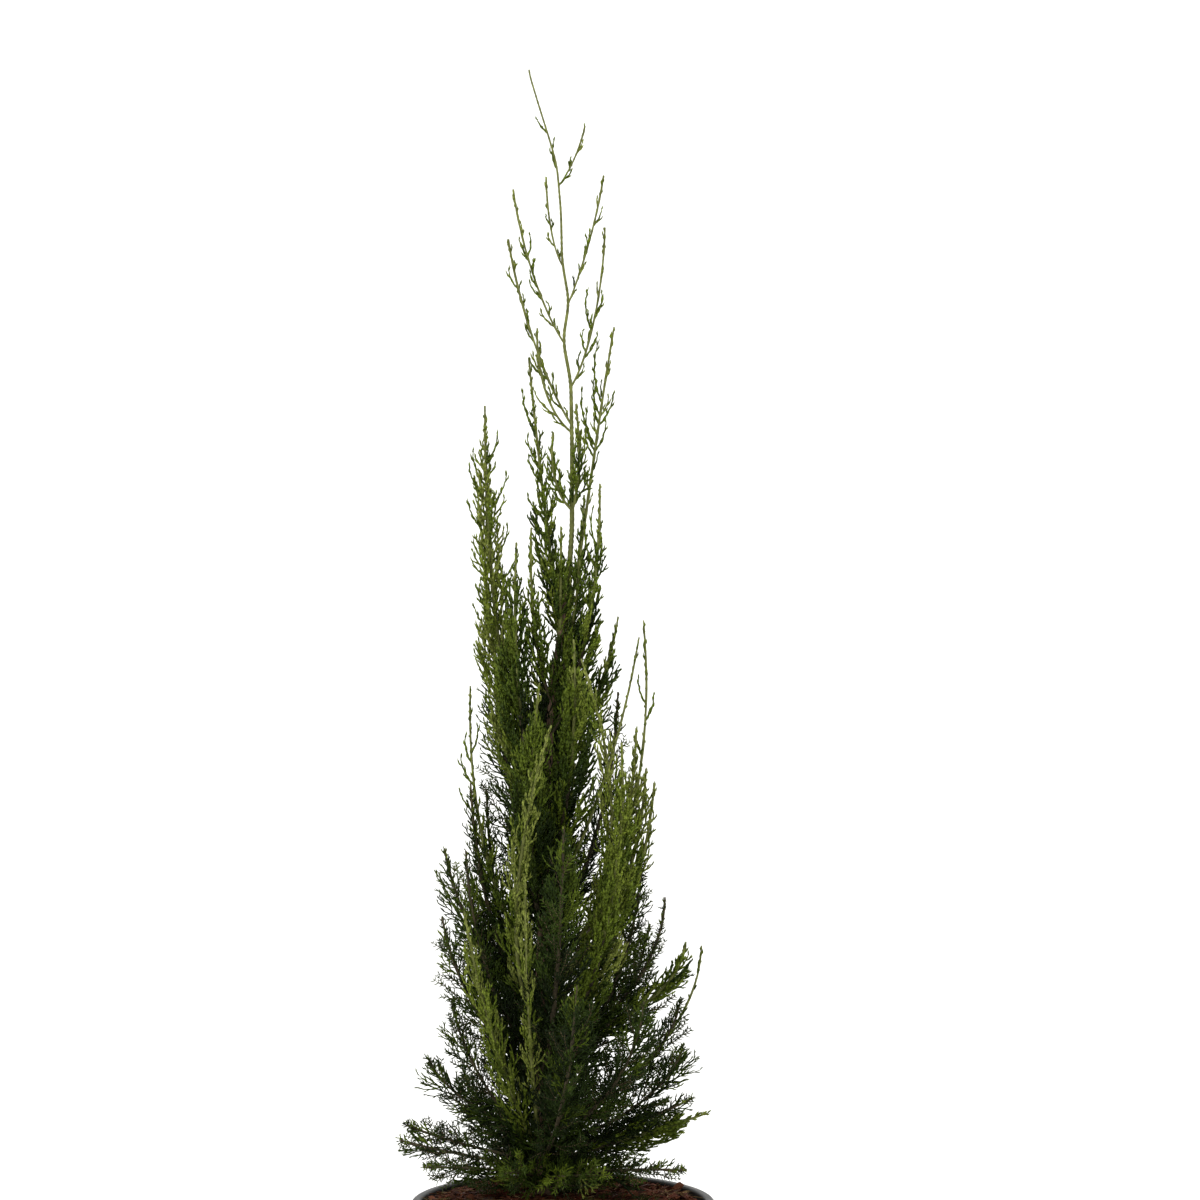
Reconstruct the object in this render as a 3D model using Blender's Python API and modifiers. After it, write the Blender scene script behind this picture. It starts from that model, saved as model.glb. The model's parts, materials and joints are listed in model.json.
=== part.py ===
"""A potted eastern red cedar seedling: a slim upright conifer in a round nursery pot.

Metres, +Z up. The origin is on the ground under the middle of the pot, -Y is the front.
The plant is a leaning trunk, boughs that sweep out and turn up, and one mass of ascending
sprays round each bough's upper part.
"""

import math
from collections import namedtuple

import bmesh
import bpy
import numpy as np
from mathutils import Matrix, Vector

# Driving sizes of the pot
POT_HEIGHT = 0.165
POT_RIM_RADIUS = 0.0825
POT_BASE_RADIUS = 0.063
POT_WALL = 0.0016
POT_FLOOR = 0.0025
LIP_HEIGHT = 0.009
LIP_OVERHANG = 0.0035
LIP_ROUND = 0.0016
FOOT_CHAMFER = 0.002
POT_SEGMENTS = 40
DRAIN_HOLES = 6
DRAIN_RADIUS = 0.006
DRAIN_CIRCLE = 0.044
DRAIN_SIDES = 8

# Driving sizes of the bark mulch that fills the pot
MULCH_EDGE_DROP = 0.004
MULCH_DOME = 0.0075
MULCH_RINGS = 7
MULCH_ROUGHNESS = 0.0022
MULCH_EVEN_EDGE = 0.03
MULCH_SEED = 11
MULCH_TOP = POT_HEIGHT - MULCH_EDGE_DROP + MULCH_DOME + MULCH_ROUGHNESS

# Driving sizes of the plant
GAP = 0.0003
TUBE_WELD = 0.00001
UNION_WELD = 0.000001
UP = Vector((0, 0, 1))
GROUND = 0.1680
TREE_TOP = 0.7790
TRUNK_BASE_RADIUS = 0.0042
TRUNK_TIP_RADIUS = 0.0005
TRUNK_TAPER = 1.6
TRUNK_SIDES = 8
TRUNK_STEPS = 34
TRUNK_STEP_GROWTH = 1.2
TRUNK_SMOOTHING = 0.006
TRUNK_SAMPLES = 60
ROOT_FLARE = 0.0030
ROOT_FLARE_HEIGHT = 0.009
# Where the trunk's middle line bends: height above the ground, and sideways offset.
TRUNK_BENDS = (
    (0.1680, -0.0120),
    (0.2740, -0.0120),
    (0.3550, -0.0098),
    (0.4260, -0.0070),
    (0.4560, -0.0040),
    (0.4980, 0.0027),
    (0.5290, 0.0049),
    (0.5740, 0.0049),
    (0.6090, 0.0043),
    (0.6320, 0.0000),
    (0.6530, 0.0033),
    (0.6750, -0.0005),
    (0.7020, -0.0011),
    (0.7270, -0.0033),
    (0.7400, -0.0070),
    (0.7610, -0.0136),
    (0.7790, -0.0190),
)

# Driving sizes of the boughs and of the stems in the masses
LIMB_SIDES = 6
LIMB_POINTS = 4
LIMB_RADIUS_SHARE = 0.011
LIMB_LEAST_RADIUS = 0.0010
LIMB_OF_TRUNK = 0.62
STEM_TIP_RADIUS = 0.0006
STEM_TAPER = 0.9
SQUARE_START = 0.0006
LINE_POINTS = 40
CORE_SHARE = 0.8
CORE_PEAK = 0.8
CORE_FULLNESS = 0.7
# The two handles of a bough's curve: how far out and how far up each of them stands.
FIRST_HANDLE_OUT = 0.62
FIRST_HANDLE_UP = 0.16
SECOND_HANDLE_OUT = 0.62
SECOND_HANDLE_UP = 0.58
# A mass against its leafy length: how wide it starts and how soon it is full.
PLUME_START = 0.5
PLUME_SWELL = 3

# A kind of mass. step: distance between sprays along the stem. core: radius of its dense
# middle against its spread. radius: of a spray's root, where the spray is SPRAY_LENGTH long.
# inner_deg and tip_deg: the angles at which sprays leave the stem low down and at its tip.
# forks: share of the sprays that carry a side spray. taper: power by which the mass narrows
# to its tip. lead: how far its leading shoot stands above its sprays. sides and points: of
# the stem's tube.
Kind = namedtuple(
    "Kind", "step core radius inner_deg tip_deg forks taper lead sides points foliage"
)
SHOOT = Kind(0.0120, 0, 0.0010, 28, 20, 0, 0.4, 0.006, 4, 5, "foliage_light")
WISP = Kind(0.0105, 0.16, 0.0026, 42, 14, 0.04, 1.1, 0.010, 4, 6, "foliage_mid")
SPIRE = Kind(0.0100, 0.20, 0.0026, 29, 15, 0.08, 0.5, 0.010, 4, 6, "foliage_mid")
DENSE = Kind(0.0102, 0.27, 0.0036, 52, 28, 0.10, 0.35, 0.004, 6, 6, "foliage_dark")
SPRAY_LENGTH = 0.030
SPRAY_THINNING = 0.6
SPRAY_LEAST = 0.004
# How much further than its width a spray's tip may stand off, and by how much it is cut down.
WIDTH_SLACK = 0.002
SPRAY_CUT = 0.85
# How strongly a spray turns up, against its heading of length 1.
LIFT = 0.22
SPRAYS_FROM = 0.03
SPRAYS_SPAN = 0.95
LEAST_SPRAYS = 4
LENGTH_SPREAD = 0.15
GOLDEN_ANGLE = math.radians(137.5)
SPIRAL_SPREAD = 0.4
ROOT_IN_STEM = 0.85
FORK_AT = 0.30
FORK_LENGTH = 0.55
FORK_ANGLE = math.radians(28)
# The lengths at which a spray is tried, and the places along it that are tested.
SHORTER = (1.15, 1.0, 0.8, 0.6, 0.45)
TESTED_SHARES = (0.15, 0.32, 0.49, 0.66, 0.83, 1)

# leaves_at: height on the trunk. tip: furthest point. sweep: share of the sideways reach that
# is gained at once. bow: how far the middle swings off. bare: leafless share of the length,
# which is the bough's own limb. spread: half the width of its mass.
Bough = namedtuple("Bough", "name leaves_at tip sweep bow bare spread kind")

LEADER_SHOOTS = (
    Bough("crown_right", 0.716, (0.0119, -0.002, 0.748), 0.5, (0, 0, 0), 0, 0.004, SHOOT),
    Bough("crown_left", 0.672, (-0.0092, 0.003, 0.721), 0.9, (0, 0, 0), 0, 0.004, SHOOT),
    Bough("leader_right", 0.6515, (0.0221, -0.004, 0.721), 0.4, (0, 0, 0), 0, 0.005, SHOOT),
    Bough("leader_left", 0.6305, (-0.0270, -0.003, 0.7136), 0.55, (0, 0, 0), 0, 0.006, SHOOT),
    Bough("leader_right_low", 0.6065, (0.0228, 0.006, 0.694), 0.6, (0.002, 0, 0), 0, 0.007, SHOOT),
    Bough("leader_left_long", 0.586, (-0.0299, 0.005, 0.6876), 0.5, (0, 0.004, 0), 0, 0.007, SHOOT),
    Bough("leader_left_plume", 0.582, (-0.0138, -0.007, 0.638), 1.1, (0, -0.003, 0), 0, 0.007, SHOOT),
    Bough("leader_left_inner", 0.540, (-0.0050, -0.010, 0.5815), 0.9, (-0.003, -0.002, 0), 0, 0.006, SPIRE),
    Bough("leader_right_inner", 0.540, (0.0071, -0.008, 0.597), 0.7, (0.003, -0.003, 0), 0, 0.007, SPIRE),
)

MAIN_BOUGHS = (
    # Upper crown
    Bough("upper_left", 0.468, (-0.0187, 0.004, 0.623), 0.3, (0.0015, 0.003, 0), 0, 0.0105, SPIRE),
    Bough("upper_left_front", 0.436, (-0.0170, -0.012, 0.530), 0.8, (-0.002, -0.004, 0), 0, 0.011, SPIRE),
    Bough("upper_right_tall", 0.464, (0.0278, 0.008, 0.640), 1.7, (-0.021, 0.004, 0), 0.50, 0.007, SHOOT),
    Bough("upper_right", 0.418, (0.0200, -0.006, 0.554), 0.8, (0.003, -0.003, 0), 0, 0.0125, SPIRE),
    Bough("upper_right_outer", 0.398, (0.0300, 0.004, 0.482), 0.7, (-0.001, 0.002, 0), 0, 0.014, SPIRE),
    Bough("upper_back", 0.380, (0.0040, 0.028, 0.500), 0.7, (0, 0.004, 0), 0, 0.017, SPIRE),
    Bough("mid_front", 0.340, (0.0060, -0.030, 0.470), 0.8, (0.004, -0.004, 0), 0, 0.017, SPIRE),
    Bough("mid_back", 0.344, (-0.0110, 0.024, 0.455), 0.8, (0, 0.004, 0), 0, 0.019, SPIRE),
    # Spires at the shoulders
    Bough("left_spire", 0.352, (-0.0424, 0.000, 0.5965), 0.62, (-0.005, 0, 0), 0.14, 0.0145, SPIRE),
    Bough("left_spire_inner", 0.366, (-0.0250, -0.012, 0.522), 0.8, (-0.004, -0.004, 0), 0, 0.014, SPIRE),
    Bough("left_back", 0.330, (-0.0380, 0.030, 0.470), 0.7, (-0.002, 0.004, 0), 0, 0.019, DENSE),
    Bough("left_outer", 0.290, (-0.0502, -0.003, 0.4445), 0.95, (-0.003, 0, 0), 0, 0.020, WISP),
    Bough("right_outer_thin", 0.322, (0.0412, -0.010, 0.471), 0.6, (-0.002, -0.003, 0), 0, 0.016, WISP),
    Bough("right_outer", 0.286, (0.0438, 0.006, 0.480), 0.95, (0.009, 0, 0), 0.12, 0.0185, WISP),
    Bough("right_shoulder", 0.258, (0.0495, -0.002, 0.3920), 0.85, (0, 0, 0), 0, 0.010, SPIRE),
    Bough("right_back", 0.306, (0.0300, 0.036, 0.440), 0.8, (0.002, 0.004, 0), 0, 0.019, DENSE),
    # Front
    Bough("front_right_arch", 0.276, (0.0101, -0.046, 0.460), 0.8, (0.030, -0.008, 0), 0.12, 0.017, WISP),
    Bough("front_right", 0.240, (0.0315, -0.050, 0.416), 0.85, (0.006, -0.006, 0), 0, 0.015, SPIRE),
    Bough("front_left_arch", 0.258, (-0.0057, -0.052, 0.425), 0.9, (-0.022, -0.006, 0), 0.14, 0.016, WISP),
    Bough("front_left_upper", 0.312, (-0.0120, -0.034, 0.447), 0.8, (-0.007, -0.006, 0), 0, 0.016, SPIRE),
    Bough("front_mid", 0.230, (0.0010, -0.054, 0.372), 0.85, (0, -0.006, 0), 0, 0.021, DENSE),
    Bough("front_left_low", 0.190, (-0.0520, -0.038, 0.326), 0.62, (0.004, -0.010, 0), 0, 0.018, WISP),
    Bough("front_low", 0.186, (0.0080, -0.066, 0.290), 0.75, (0, -0.004, 0), 0, 0.021, DENSE),
    Bough("front_right_low", 0.198, (0.0430, -0.052, 0.280), 0.8, (0.002, -0.004, 0), 0, 0.021, DENSE),
    # Left flank, from the top down
    Bough("left_flank_top", 0.264, (-0.0645, 0.002, 0.356), 0.75, (0.002, 0, 0), 0, 0.016, DENSE),
    Bough("left_flank", 0.232, (-0.0650, -0.012, 0.320), 0.8, (0.002, 0, 0), 0, 0.0165, DENSE),
    Bough("left_low", 0.200, (-0.0740, 0.010, 0.241), 0.7, (0, 0, 0), 0, 0.017, DENSE),
    Bough("left_lowest", 0.182, (-0.0885, -0.006, 0.199), 0.5, (0, 0, 0.002), 0.28, 0.016, DENSE),
    # Right flank, from the top down
    Bough("right_mid", 0.244, (0.0555, 0.006, 0.329), 0.9, (0.002, 0.002, 0), 0, 0.018, DENSE),
    Bough("right_flank_top", 0.250, (0.0662, -0.010, 0.306), 0.95, (0, 0, 0), 0, 0.015, SPIRE),
    Bough("right_flank_long", 0.206, (0.0757, 0.012, 0.302), 0.85, (0.004, 0.002, 0), 0, 0.013, WISP),
    Bough("right_flank", 0.194, (0.0650, -0.016, 0.252), 0.8, (0, 0, 0), 0, 0.018, DENSE),
    Bough("right_lowest", 0.182, (0.0780, -0.004, 0.213), 0.3, (0, 0, 0.004), 0.25, 0.015, SPIRE),
    # Back, which fills the crown's depth
    Bough("back_high", 0.280, (-0.0040, 0.056, 0.400), 0.8, (0, 0.003, 0), 0, 0.021, DENSE),
    Bough("back_low", 0.196, (-0.0050, 0.070, 0.276), 0.75, (0, 0.004, 0), 0, 0.022, DENSE),
    Bough("back_left_low", 0.214, (-0.0450, 0.050, 0.300), 0.75, (0, 0.002, 0), 0, 0.021, DENSE),
    Bough("back_right_low", 0.222, (0.0480, 0.050, 0.310), 0.75, (0, 0.002, 0), 0, 0.021, DENSE),
    # The lowest ring, over the rim
    Bough("front_left_lowest", 0.178, (-0.0740, -0.032, 0.189), 0.3, (0, 0, 0.003), 0, 0.015, DENSE),
    Bough("front_right_lowest", 0.177, (0.0660, -0.036, 0.188), 0.3, (0, 0, 0.004), 0, 0.014, DENSE),
    Bough("back_left_lowest", 0.179, (-0.0560, 0.056, 0.205), 0.3, (0, 0, 0.004), 0, 0.020, DENSE),
    Bough("back_right_lowest", 0.180, (0.0560, 0.056, 0.202), 0.3, (0, 0, 0.004), 0, 0.020, DENSE),
)

Colour = namedtuple("Colour", "red green blue roughness")
FOLIAGE = {
    "foliage_light": Colour(0.135, 0.175, 0.045, 0.60),
    "foliage_mid": Colour(0.075, 0.125, 0.028, 0.62),
    "foliage_dark": Colour(0.040, 0.075, 0.022, 0.66),
}
BARK = Colour(0.115, 0.065, 0.040, 0.85)
POT_PLASTIC = Colour(0.022, 0.021, 0.024, 0.38)
MULCH = Colour(0.105, 0.038, 0.022, 0.92)


def clear_scene():
    for obj in list(bpy.data.objects):
        bpy.data.objects.remove(obj)


def new_collection(name):
    collection = bpy.data.collections.new(name)
    bpy.context.scene.collection.children.link(collection)
    return collection


def material(name, colour):
    """A Principled BSDF with the part's own colour and roughness."""
    made = bpy.data.materials.new(name)
    made.use_nodes = True
    shader = made.node_tree.nodes["Principled BSDF"]
    shader.inputs["Base Color"].default_value = (colour.red, colour.green, colour.blue, 1)
    shader.inputs["Roughness"].default_value = colour.roughness
    shader.inputs["Metallic"].default_value = 0
    return made


def add_object(name, mesh, collection, mat):
    obj = bpy.data.objects.new(name, mesh)
    collection.objects.link(obj)
    mesh.materials.clear()
    mesh.materials.append(mat)
    return obj


def apply_modifiers(obj):
    """Puts the evaluated mesh in place of the modifiers."""
    graph = bpy.context.evaluated_depsgraph_get()
    made = bpy.data.meshes.new_from_object(obj.evaluated_get(graph))
    obj.modifiers.clear()
    obj.data = made


# The trunk and the boughs' lines


def trunk_at(height):
    """The point on the trunk's middle line at a height, on a smooth curve through its bends."""
    heights, offsets = np.array(TRUNK_BENDS).T
    spread = np.linspace(-TRUNK_SMOOTHING, TRUNK_SMOOTHING, 7)
    return Vector((float(np.interp(height + spread, heights, offsets).mean()), 0, height))


def trunk_radius(height):
    up = (height - GROUND) / (TREE_TOP - GROUND)
    taper = TRUNK_TIP_RADIUS + (TRUNK_BASE_RADIUS - TRUNK_TIP_RADIUS) * (1 - up) ** TRUNK_TAPER
    return taper + ROOT_FLARE * math.exp(-(height - GROUND) / ROOT_FLARE_HEIGHT)


def bough_line(bough):
    """LINE_POINTS points from the trunk's surface to the tip: out along the sweep, then up."""
    middle = trunk_at(bough.leaves_at)
    tip = Vector(bough.tip)
    reach = Vector((tip.x - middle.x, tip.y - middle.y, 0))
    rise = tip.z - middle.z
    start = middle + reach.normalized() * (trunk_radius(bough.leaves_at) + GAP)
    swing = Vector(bough.bow)
    second_out = SECOND_HANDLE_OUT + (1 - SECOND_HANDLE_OUT) * bough.sweep
    first = start + swing + reach * bough.sweep * FIRST_HANDLE_OUT
    first.z += rise * FIRST_HANDLE_UP
    second = start + swing + reach * second_out
    second.z += rise * SECOND_HANDLE_UP
    points = []
    for t in np.linspace(0, 1, LINE_POINTS).tolist():
        back = 1 - t
        pulls = (back**3, 3 * back**2 * t, 3 * back * t**2, t**3)
        points.append(sum((p * w for p, w in zip((start, first, second, tip), pulls)), Vector()))
    return points


def line_length(points):
    return sum((b - a).length for a, b in zip(points, points[1:]))


def point_along(points, share):
    """(point, unit tangent) at a share of the way along evenly numbered points."""
    place = min(max(share, 0.0), 0.9999) * (len(points) - 1)
    index = int(place)
    a, b = points[index], points[index + 1]
    return a.lerp(b, place - index), (b - a).normalized()


def distance_to_line(places, line):
    """Each place's distance to a line of points, and how far along it is, as arrays."""
    places = np.asarray(places)[:, None, :]
    starts, steps = line[:-1][None], (line[1:] - line[:-1])[None]
    along = np.clip(((places - starts) * steps).sum(2) / (steps**2).sum(2), 0, 1)
    gaps = np.linalg.norm(places - starts - along[..., None] * steps, axis=2)
    nearest = gaps.argmin(1)
    rows = np.arange(len(gaps))
    return gaps[rows, nearest], nearest + along[rows, nearest]


# Shapes


def tapered_tube(name, points, radii, sides, collection, mat):
    """A closed tube of 4, 6 or 8 sides along points, tapering by their radii."""
    curve = bpy.data.curves.new(name, "CURVE")
    curve.dimensions = "3D"
    curve.use_fill_caps = True
    curve.twist_mode = "MINIMUM"
    curve.bevel_depth = 1.0
    curve.bevel_resolution = (sides - 4) // 2
    spline = curve.splines.new("POLY")
    spline.points.add(len(points) - 1)
    for place, point, radius in zip(spline.points, points, radii):
        place.co = (*point, 1)
        place.radius = radius
    guide = bpy.data.objects.new(name + "_guide", curve)
    collection.objects.link(guide)
    graph = bpy.context.evaluated_depsgraph_get()
    mesh = bpy.data.meshes.new_from_object(guide.evaluated_get(graph))
    bpy.data.objects.remove(guide)
    weld(mesh)
    mesh.shade_smooth()
    mesh.name = name
    return add_object(name, mesh, collection, mat)


def weld(mesh):
    shape = bmesh.new()
    shape.from_mesh(mesh)
    bmesh.ops.remove_doubles(shape, verts=shape.verts, dist=TUBE_WELD)
    bmesh.ops.recalc_face_normals(shape, faces=shape.faces)
    shape.to_mesh(mesh)
    shape.free()


def spray_spike(name, spray, collection, mat):
    """One three-sided tapering spray, from a cone primitive of three segments."""
    along = spray.tip - spray.root
    turn = along.to_track_quat("Z", "Y").to_matrix().to_4x4()
    roll_turn = Matrix.Rotation(spray.roll, 4, "Z")
    shape = bmesh.new()
    bmesh.ops.create_cone(
        shape,
        cap_ends=True,
        segments=3,
        radius1=spray.radius,
        radius2=0,
        depth=along.length,
        matrix=Matrix.Translation((spray.root + spray.tip) / 2) @ turn @ roll_turn,
    )
    mesh = bpy.data.meshes.new(name)
    shape.to_mesh(mesh)
    shape.free()
    return add_object(name, mesh, collection, mat)


def turned(name, profile, segments, collection, mat):
    """A profile of (radius, height) points turned about the vertical through the origin."""
    mesh = bpy.data.meshes.new(name)
    edges = [(i, i + 1) for i in range(len(profile) - 1)]
    mesh.from_pydata([(r, 0, z) for r, z in profile], edges, [])
    obj = add_object(name, mesh, collection, mat)
    screw = obj.modifiers.new("turn", "SCREW")
    screw.steps = segments
    screw.render_steps = segments
    screw.use_merge_vertices = True
    screw.merge_threshold = TUBE_WELD
    screw.use_smooth_shade = True
    apply_modifiers(obj)
    weld(obj.data)
    obj.data.shade_smooth()
    obj.data.set_sharp_from_angle(angle=math.radians(35))
    return obj


def arc(centre, radius, start_deg, end_deg, count):
    """Points of an arc in the profile's plane, as (radius, height)."""
    return [
        (
            centre[0] + radius * math.cos(math.radians(a)),
            centre[1] + radius * math.sin(math.radians(a)),
        )
        for a in np.linspace(start_deg, end_deg, count)
    ]


# The pot and its mulch


def wall_radius(height):
    """The outside of the pot's wall at a height."""
    share = height / POT_HEIGHT
    top = POT_RIM_RADIUS - LIP_OVERHANG
    return POT_BASE_RADIUS + (top - POT_BASE_RADIUS) * share


def drain_cutter(index, helpers, mat):
    """A bar through the pot's floor, for one hole of the ring of drain holes."""
    angle = 2 * math.pi * index / DRAIN_HOLES
    centre = (DRAIN_CIRCLE * math.cos(angle), DRAIN_CIRCLE * math.sin(angle), 0)
    shape = bmesh.new()
    bmesh.ops.create_cone(
        shape,
        cap_ends=True,
        segments=DRAIN_SIDES,
        radius1=DRAIN_RADIUS,
        radius2=DRAIN_RADIUS,
        depth=POT_FLOOR * 6,
        matrix=Matrix.Translation(centre),
    )
    mesh = bpy.data.meshes.new("drain_cutter")
    shape.to_mesh(mesh)
    shape.free()
    cutter = add_object(f"drain_cutter_{index}", mesh, helpers, mat)
    cutter.hide_render = True
    cutter.display_type = "WIRE"


def make_pot(collection, helpers, mat):
    """A tapered wall on a flat floor with drain holes, and a rolled lip that turns down."""
    inner_top = wall_radius(POT_HEIGHT) - POT_WALL
    lip_bottom = POT_HEIGHT - LIP_HEIGHT
    outer = POT_RIM_RADIUS - LIP_ROUND
    profile = [(0, POT_FLOOR), (wall_radius(POT_FLOOR) - POT_WALL, POT_FLOOR)]
    profile += [(inner_top, POT_HEIGHT - LIP_ROUND)]
    profile += arc((inner_top + LIP_ROUND, POT_HEIGHT - LIP_ROUND), LIP_ROUND, 135, 90, 2)
    profile += arc((outer, POT_HEIGHT - LIP_ROUND), LIP_ROUND, 90, 0, 3)
    profile += [(POT_RIM_RADIUS, lip_bottom + LIP_ROUND / 2)]
    profile += [(POT_RIM_RADIUS - LIP_ROUND / 2, lip_bottom)]
    profile += [(wall_radius(lip_bottom), lip_bottom)]
    profile += [(wall_radius(FOOT_CHAMFER), FOOT_CHAMFER)]
    profile += [(wall_radius(0) - FOOT_CHAMFER, 0), (0, 0)]
    pot = turned("pot", profile, POT_SEGMENTS, collection, mat)
    for i in range(DRAIN_HOLES):
        drain_cutter(i, helpers, mat)
    cut = pot.modifiers.new("drain_holes", "BOOLEAN")
    cut.operation = "DIFFERENCE"
    cut.operand_type = "COLLECTION"
    cut.collection = helpers
    return pot


def make_mulch(collection, mat):
    """The mulch and the soil under it: one plug inside the pot with a rough, domed top."""
    top_height = POT_HEIGHT - MULCH_EDGE_DROP
    top_radius = wall_radius(top_height) - POT_WALL - GAP
    floor_height = POT_FLOOR + GAP
    floor_radius = wall_radius(floor_height) - POT_WALL - GAP
    profile = []
    for share in np.linspace(0, 1, MULCH_RINGS):
        profile.append((top_radius * share, top_height + MULCH_DOME * (1 - share**2)))
    profile += [(floor_radius, floor_height), (0, floor_height)]
    mulch = turned("mulch", profile, POT_SEGMENTS, collection, mat)
    rough = np.random.default_rng(MULCH_SEED)
    foot = trunk_at(GROUND)
    ring_step = top_radius / (MULCH_RINGS - 1)
    flat_radius = ROOT_FLARE + TRUNK_BASE_RADIUS + 2 * ring_step
    for vertex in mulch.data.vertices:
        lift = rough.uniform(-1, 1) * MULCH_ROUGHNESS
        inside = vertex.co.xy.length < top_radius * (1 - MULCH_EVEN_EDGE)
        if vertex.co.z < top_height or not inside:
            continue
        vertex.co.z += lift
        if (vertex.co.xy - foot.xy).length < flat_radius:
            vertex.co.z = GROUND - GAP
    mulch.data.shade_flat()
    return mulch


# The trunk, the boughs and the masses of sprays


def make_trunk(collection, mat):
    """The whole trunk, from its flat cut at the ground, with steps that grow upwards."""
    shares = np.linspace(0, 1, TRUNK_STEPS) ** TRUNK_STEP_GROWTH
    heights = GROUND + shares * (TREE_TOP - GROUND)
    points = [trunk_at(h) for h in heights.tolist()]
    points[1].x = points[0].x
    radii = [trunk_radius(h) for h in heights.tolist()]
    return tapered_tube("trunk", points, radii, TRUNK_SIDES, collection, mat)


def limb_radius(bough):
    """A bough's radius where it leaves the trunk, from its length."""
    grown = LIMB_RADIUS_SHARE * line_length(bough_line(bough))
    most = LIMB_OF_TRUNK * trunk_radius(bough.leaves_at)
    return min(max(grown, LIMB_LEAST_RADIUS), most)


def radius_along(bough, share):
    root = limb_radius(bough)
    return STEM_TIP_RADIUS + (root - STEM_TIP_RADIUS) * (1 - share) ** STEM_TAPER


def limb_points(bough, line, until, count):
    """Points of a limb or stem from the trunk: square out of it first, then along its line."""
    root, _ = point_along(line, 0)
    middle = trunk_at(bough.leaves_at)
    out = Vector((root.x - middle.x, root.y - middle.y, 0)).normalized()
    points = [root, root + out * SQUARE_START]
    points += [point_along(line, s)[0] for s in np.linspace(0, until, count)[1:].tolist()]
    return points


def make_limb(bough, collection, mat):
    line = bough_line(bough)
    points = limb_points(bough, line, bough.bare, LIMB_POINTS)
    shares = [0, 0, *np.linspace(0, bough.bare, LIMB_POINTS)[1:].tolist()]
    radii = [radius_along(bough, s) for s in shares]
    return tapered_tube("bough_" + bough.name, points, radii, LIMB_SIDES, collection, mat)


def plume(share, taper):
    """How wide a mass is at a share of its leafy length, from 0 to 1."""
    return min(1.0, PLUME_START + PLUME_SWELL * share) * (1 - share) ** taper


class Space:
    """What each mass keeps to: the places that are nearer its own line than any other's, each
    measured against its mass's spread, and clear of the trunk, the limbs and the mulch."""

    def __init__(self, boughs):
        self.names = [b.name for b in boughs]
        self.lines = [np.array([tuple(p) for p in bough_line(b)]) for b in boughs]
        self.spreads = [b.spread for b in boughs]
        shares = np.linspace(0, 1, LINE_POINTS)
        self.radii = [np.array([radius_along(b, s) for s in shares.tolist()]) for b in boughs]
        heights = np.linspace(GROUND, TREE_TOP, TRUNK_SAMPLES).tolist()
        self.trunk = np.array([tuple(trunk_at(h)) for h in heights])
        self.trunk_radii = np.array([trunk_radius(h) for h in heights])

    def others(self, name, places):
        """(distance, limb's radius there, weight) of each other line, for each place."""
        own = self.names.index(name)
        for index, line in enumerate(self.lines):
            if index != own:
                gap, along = distance_to_line(places, line)
                limb = np.interp(along, np.arange(len(line)), self.radii[index])
                yield gap, limb, self.spreads[own] / self.spreads[index]

    def off_trunk(self, places):
        """How far each place is from the trunk's skin."""
        gap, along = distance_to_line(places, self.trunk)
        return gap - np.interp(along, np.arange(len(self.trunk)), self.trunk_radii)

    def clear(self, name, spray):
        """True if a spray stays in the named mass's space."""
        places = np.array([tuple(spray.root.lerp(spray.tip, s)) for s in TESTED_SHARES])
        radii = spray.radius * (1 - np.array(TESTED_SHARES))
        if (places[:, 2] < MULCH_TOP + GAP + radii).any():
            return False
        if (self.off_trunk(places) < GAP + radii).any():
            return False
        own, _ = distance_to_line(places, self.lines[self.names.index(name)])
        for gap, limb, weight in self.others(name, places):
            if (gap < limb + radii + GAP).any():
                return False
            if (own + radii + GAP / 2 > (gap - radii - GAP / 2) * weight).any():
                return False
        return True

    def room(self, name, places):
        """The radius that a tube along the mass's own line may have at each place."""
        most = np.minimum(self.off_trunk(places), np.array(places)[:, 2] - MULCH_TOP) - GAP
        for gap, limb, weight in self.others(name, places):
            most = np.minimum(most, gap - limb - GAP)
            most = np.minimum(most, gap * weight / (1 + weight) - GAP / 2)
        return most


Spray = namedtuple("Spray", "root tip radius roll")


def sprays_of(bough, line, stem, space):
    """The sprays that stay in their mass's space, by a spiral round its stem, whose shares of
    the line and radii are given."""
    rng = np.random.default_rng(sum(map(ord, bough.name)))
    kind = bough.kind
    leafy = line_length(line) * (1 - bough.bare)
    count = max(LEAST_SPRAYS, round(leafy / kind.step))
    made = []
    for k in range(count):
        share = (k + 0.5) / count
        place = bough.bare + (1 - bough.bare) * (SPRAYS_FROM + SPRAYS_SPAN * share)
        root, tangent = point_along(line, place)
        most = float(np.interp(place, *stem)) * ROOT_IN_STEM
        side = tangent.orthogonal().normalized()
        turn = k * GOLDEN_ANGLE + rng.uniform(-SPIRAL_SPREAD, SPIRAL_SPREAD)
        side.rotate(Matrix.Rotation(turn, 3, tangent))
        angle = math.radians(kind.inner_deg + (kind.tip_deg - kind.inner_deg) * share)
        luck = rng.uniform(1 - LENGTH_SPREAD, 1 + LENGTH_SPREAD)
        heading = tangent * math.cos(angle) + side * math.sin(angle) + UP * LIFT
        heading.normalize()
        width = bough.spread * plume(share, kind.taper) * luck
        below_lead = max(leafy * (1 - share) - kind.lead, SPRAY_LEAST)
        length = min(width / heading.cross(tangent).length, below_lead)
        length = kept_within(line, root, heading, length, width + WIDTH_SLACK)
        made += forked_spray(bough, root, heading, length, most, rng, space)
    return made


def kept_within(line, root, heading, length, width):
    """A spray's length, cut down until its tip is no further than a width from its stem."""
    while length > SPRAY_LEAST and distance_from(line, root + heading * length) > width:
        length *= SPRAY_CUT
    return length


def distance_from(line, place):
    return min((place - p).length for p in line)


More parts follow.
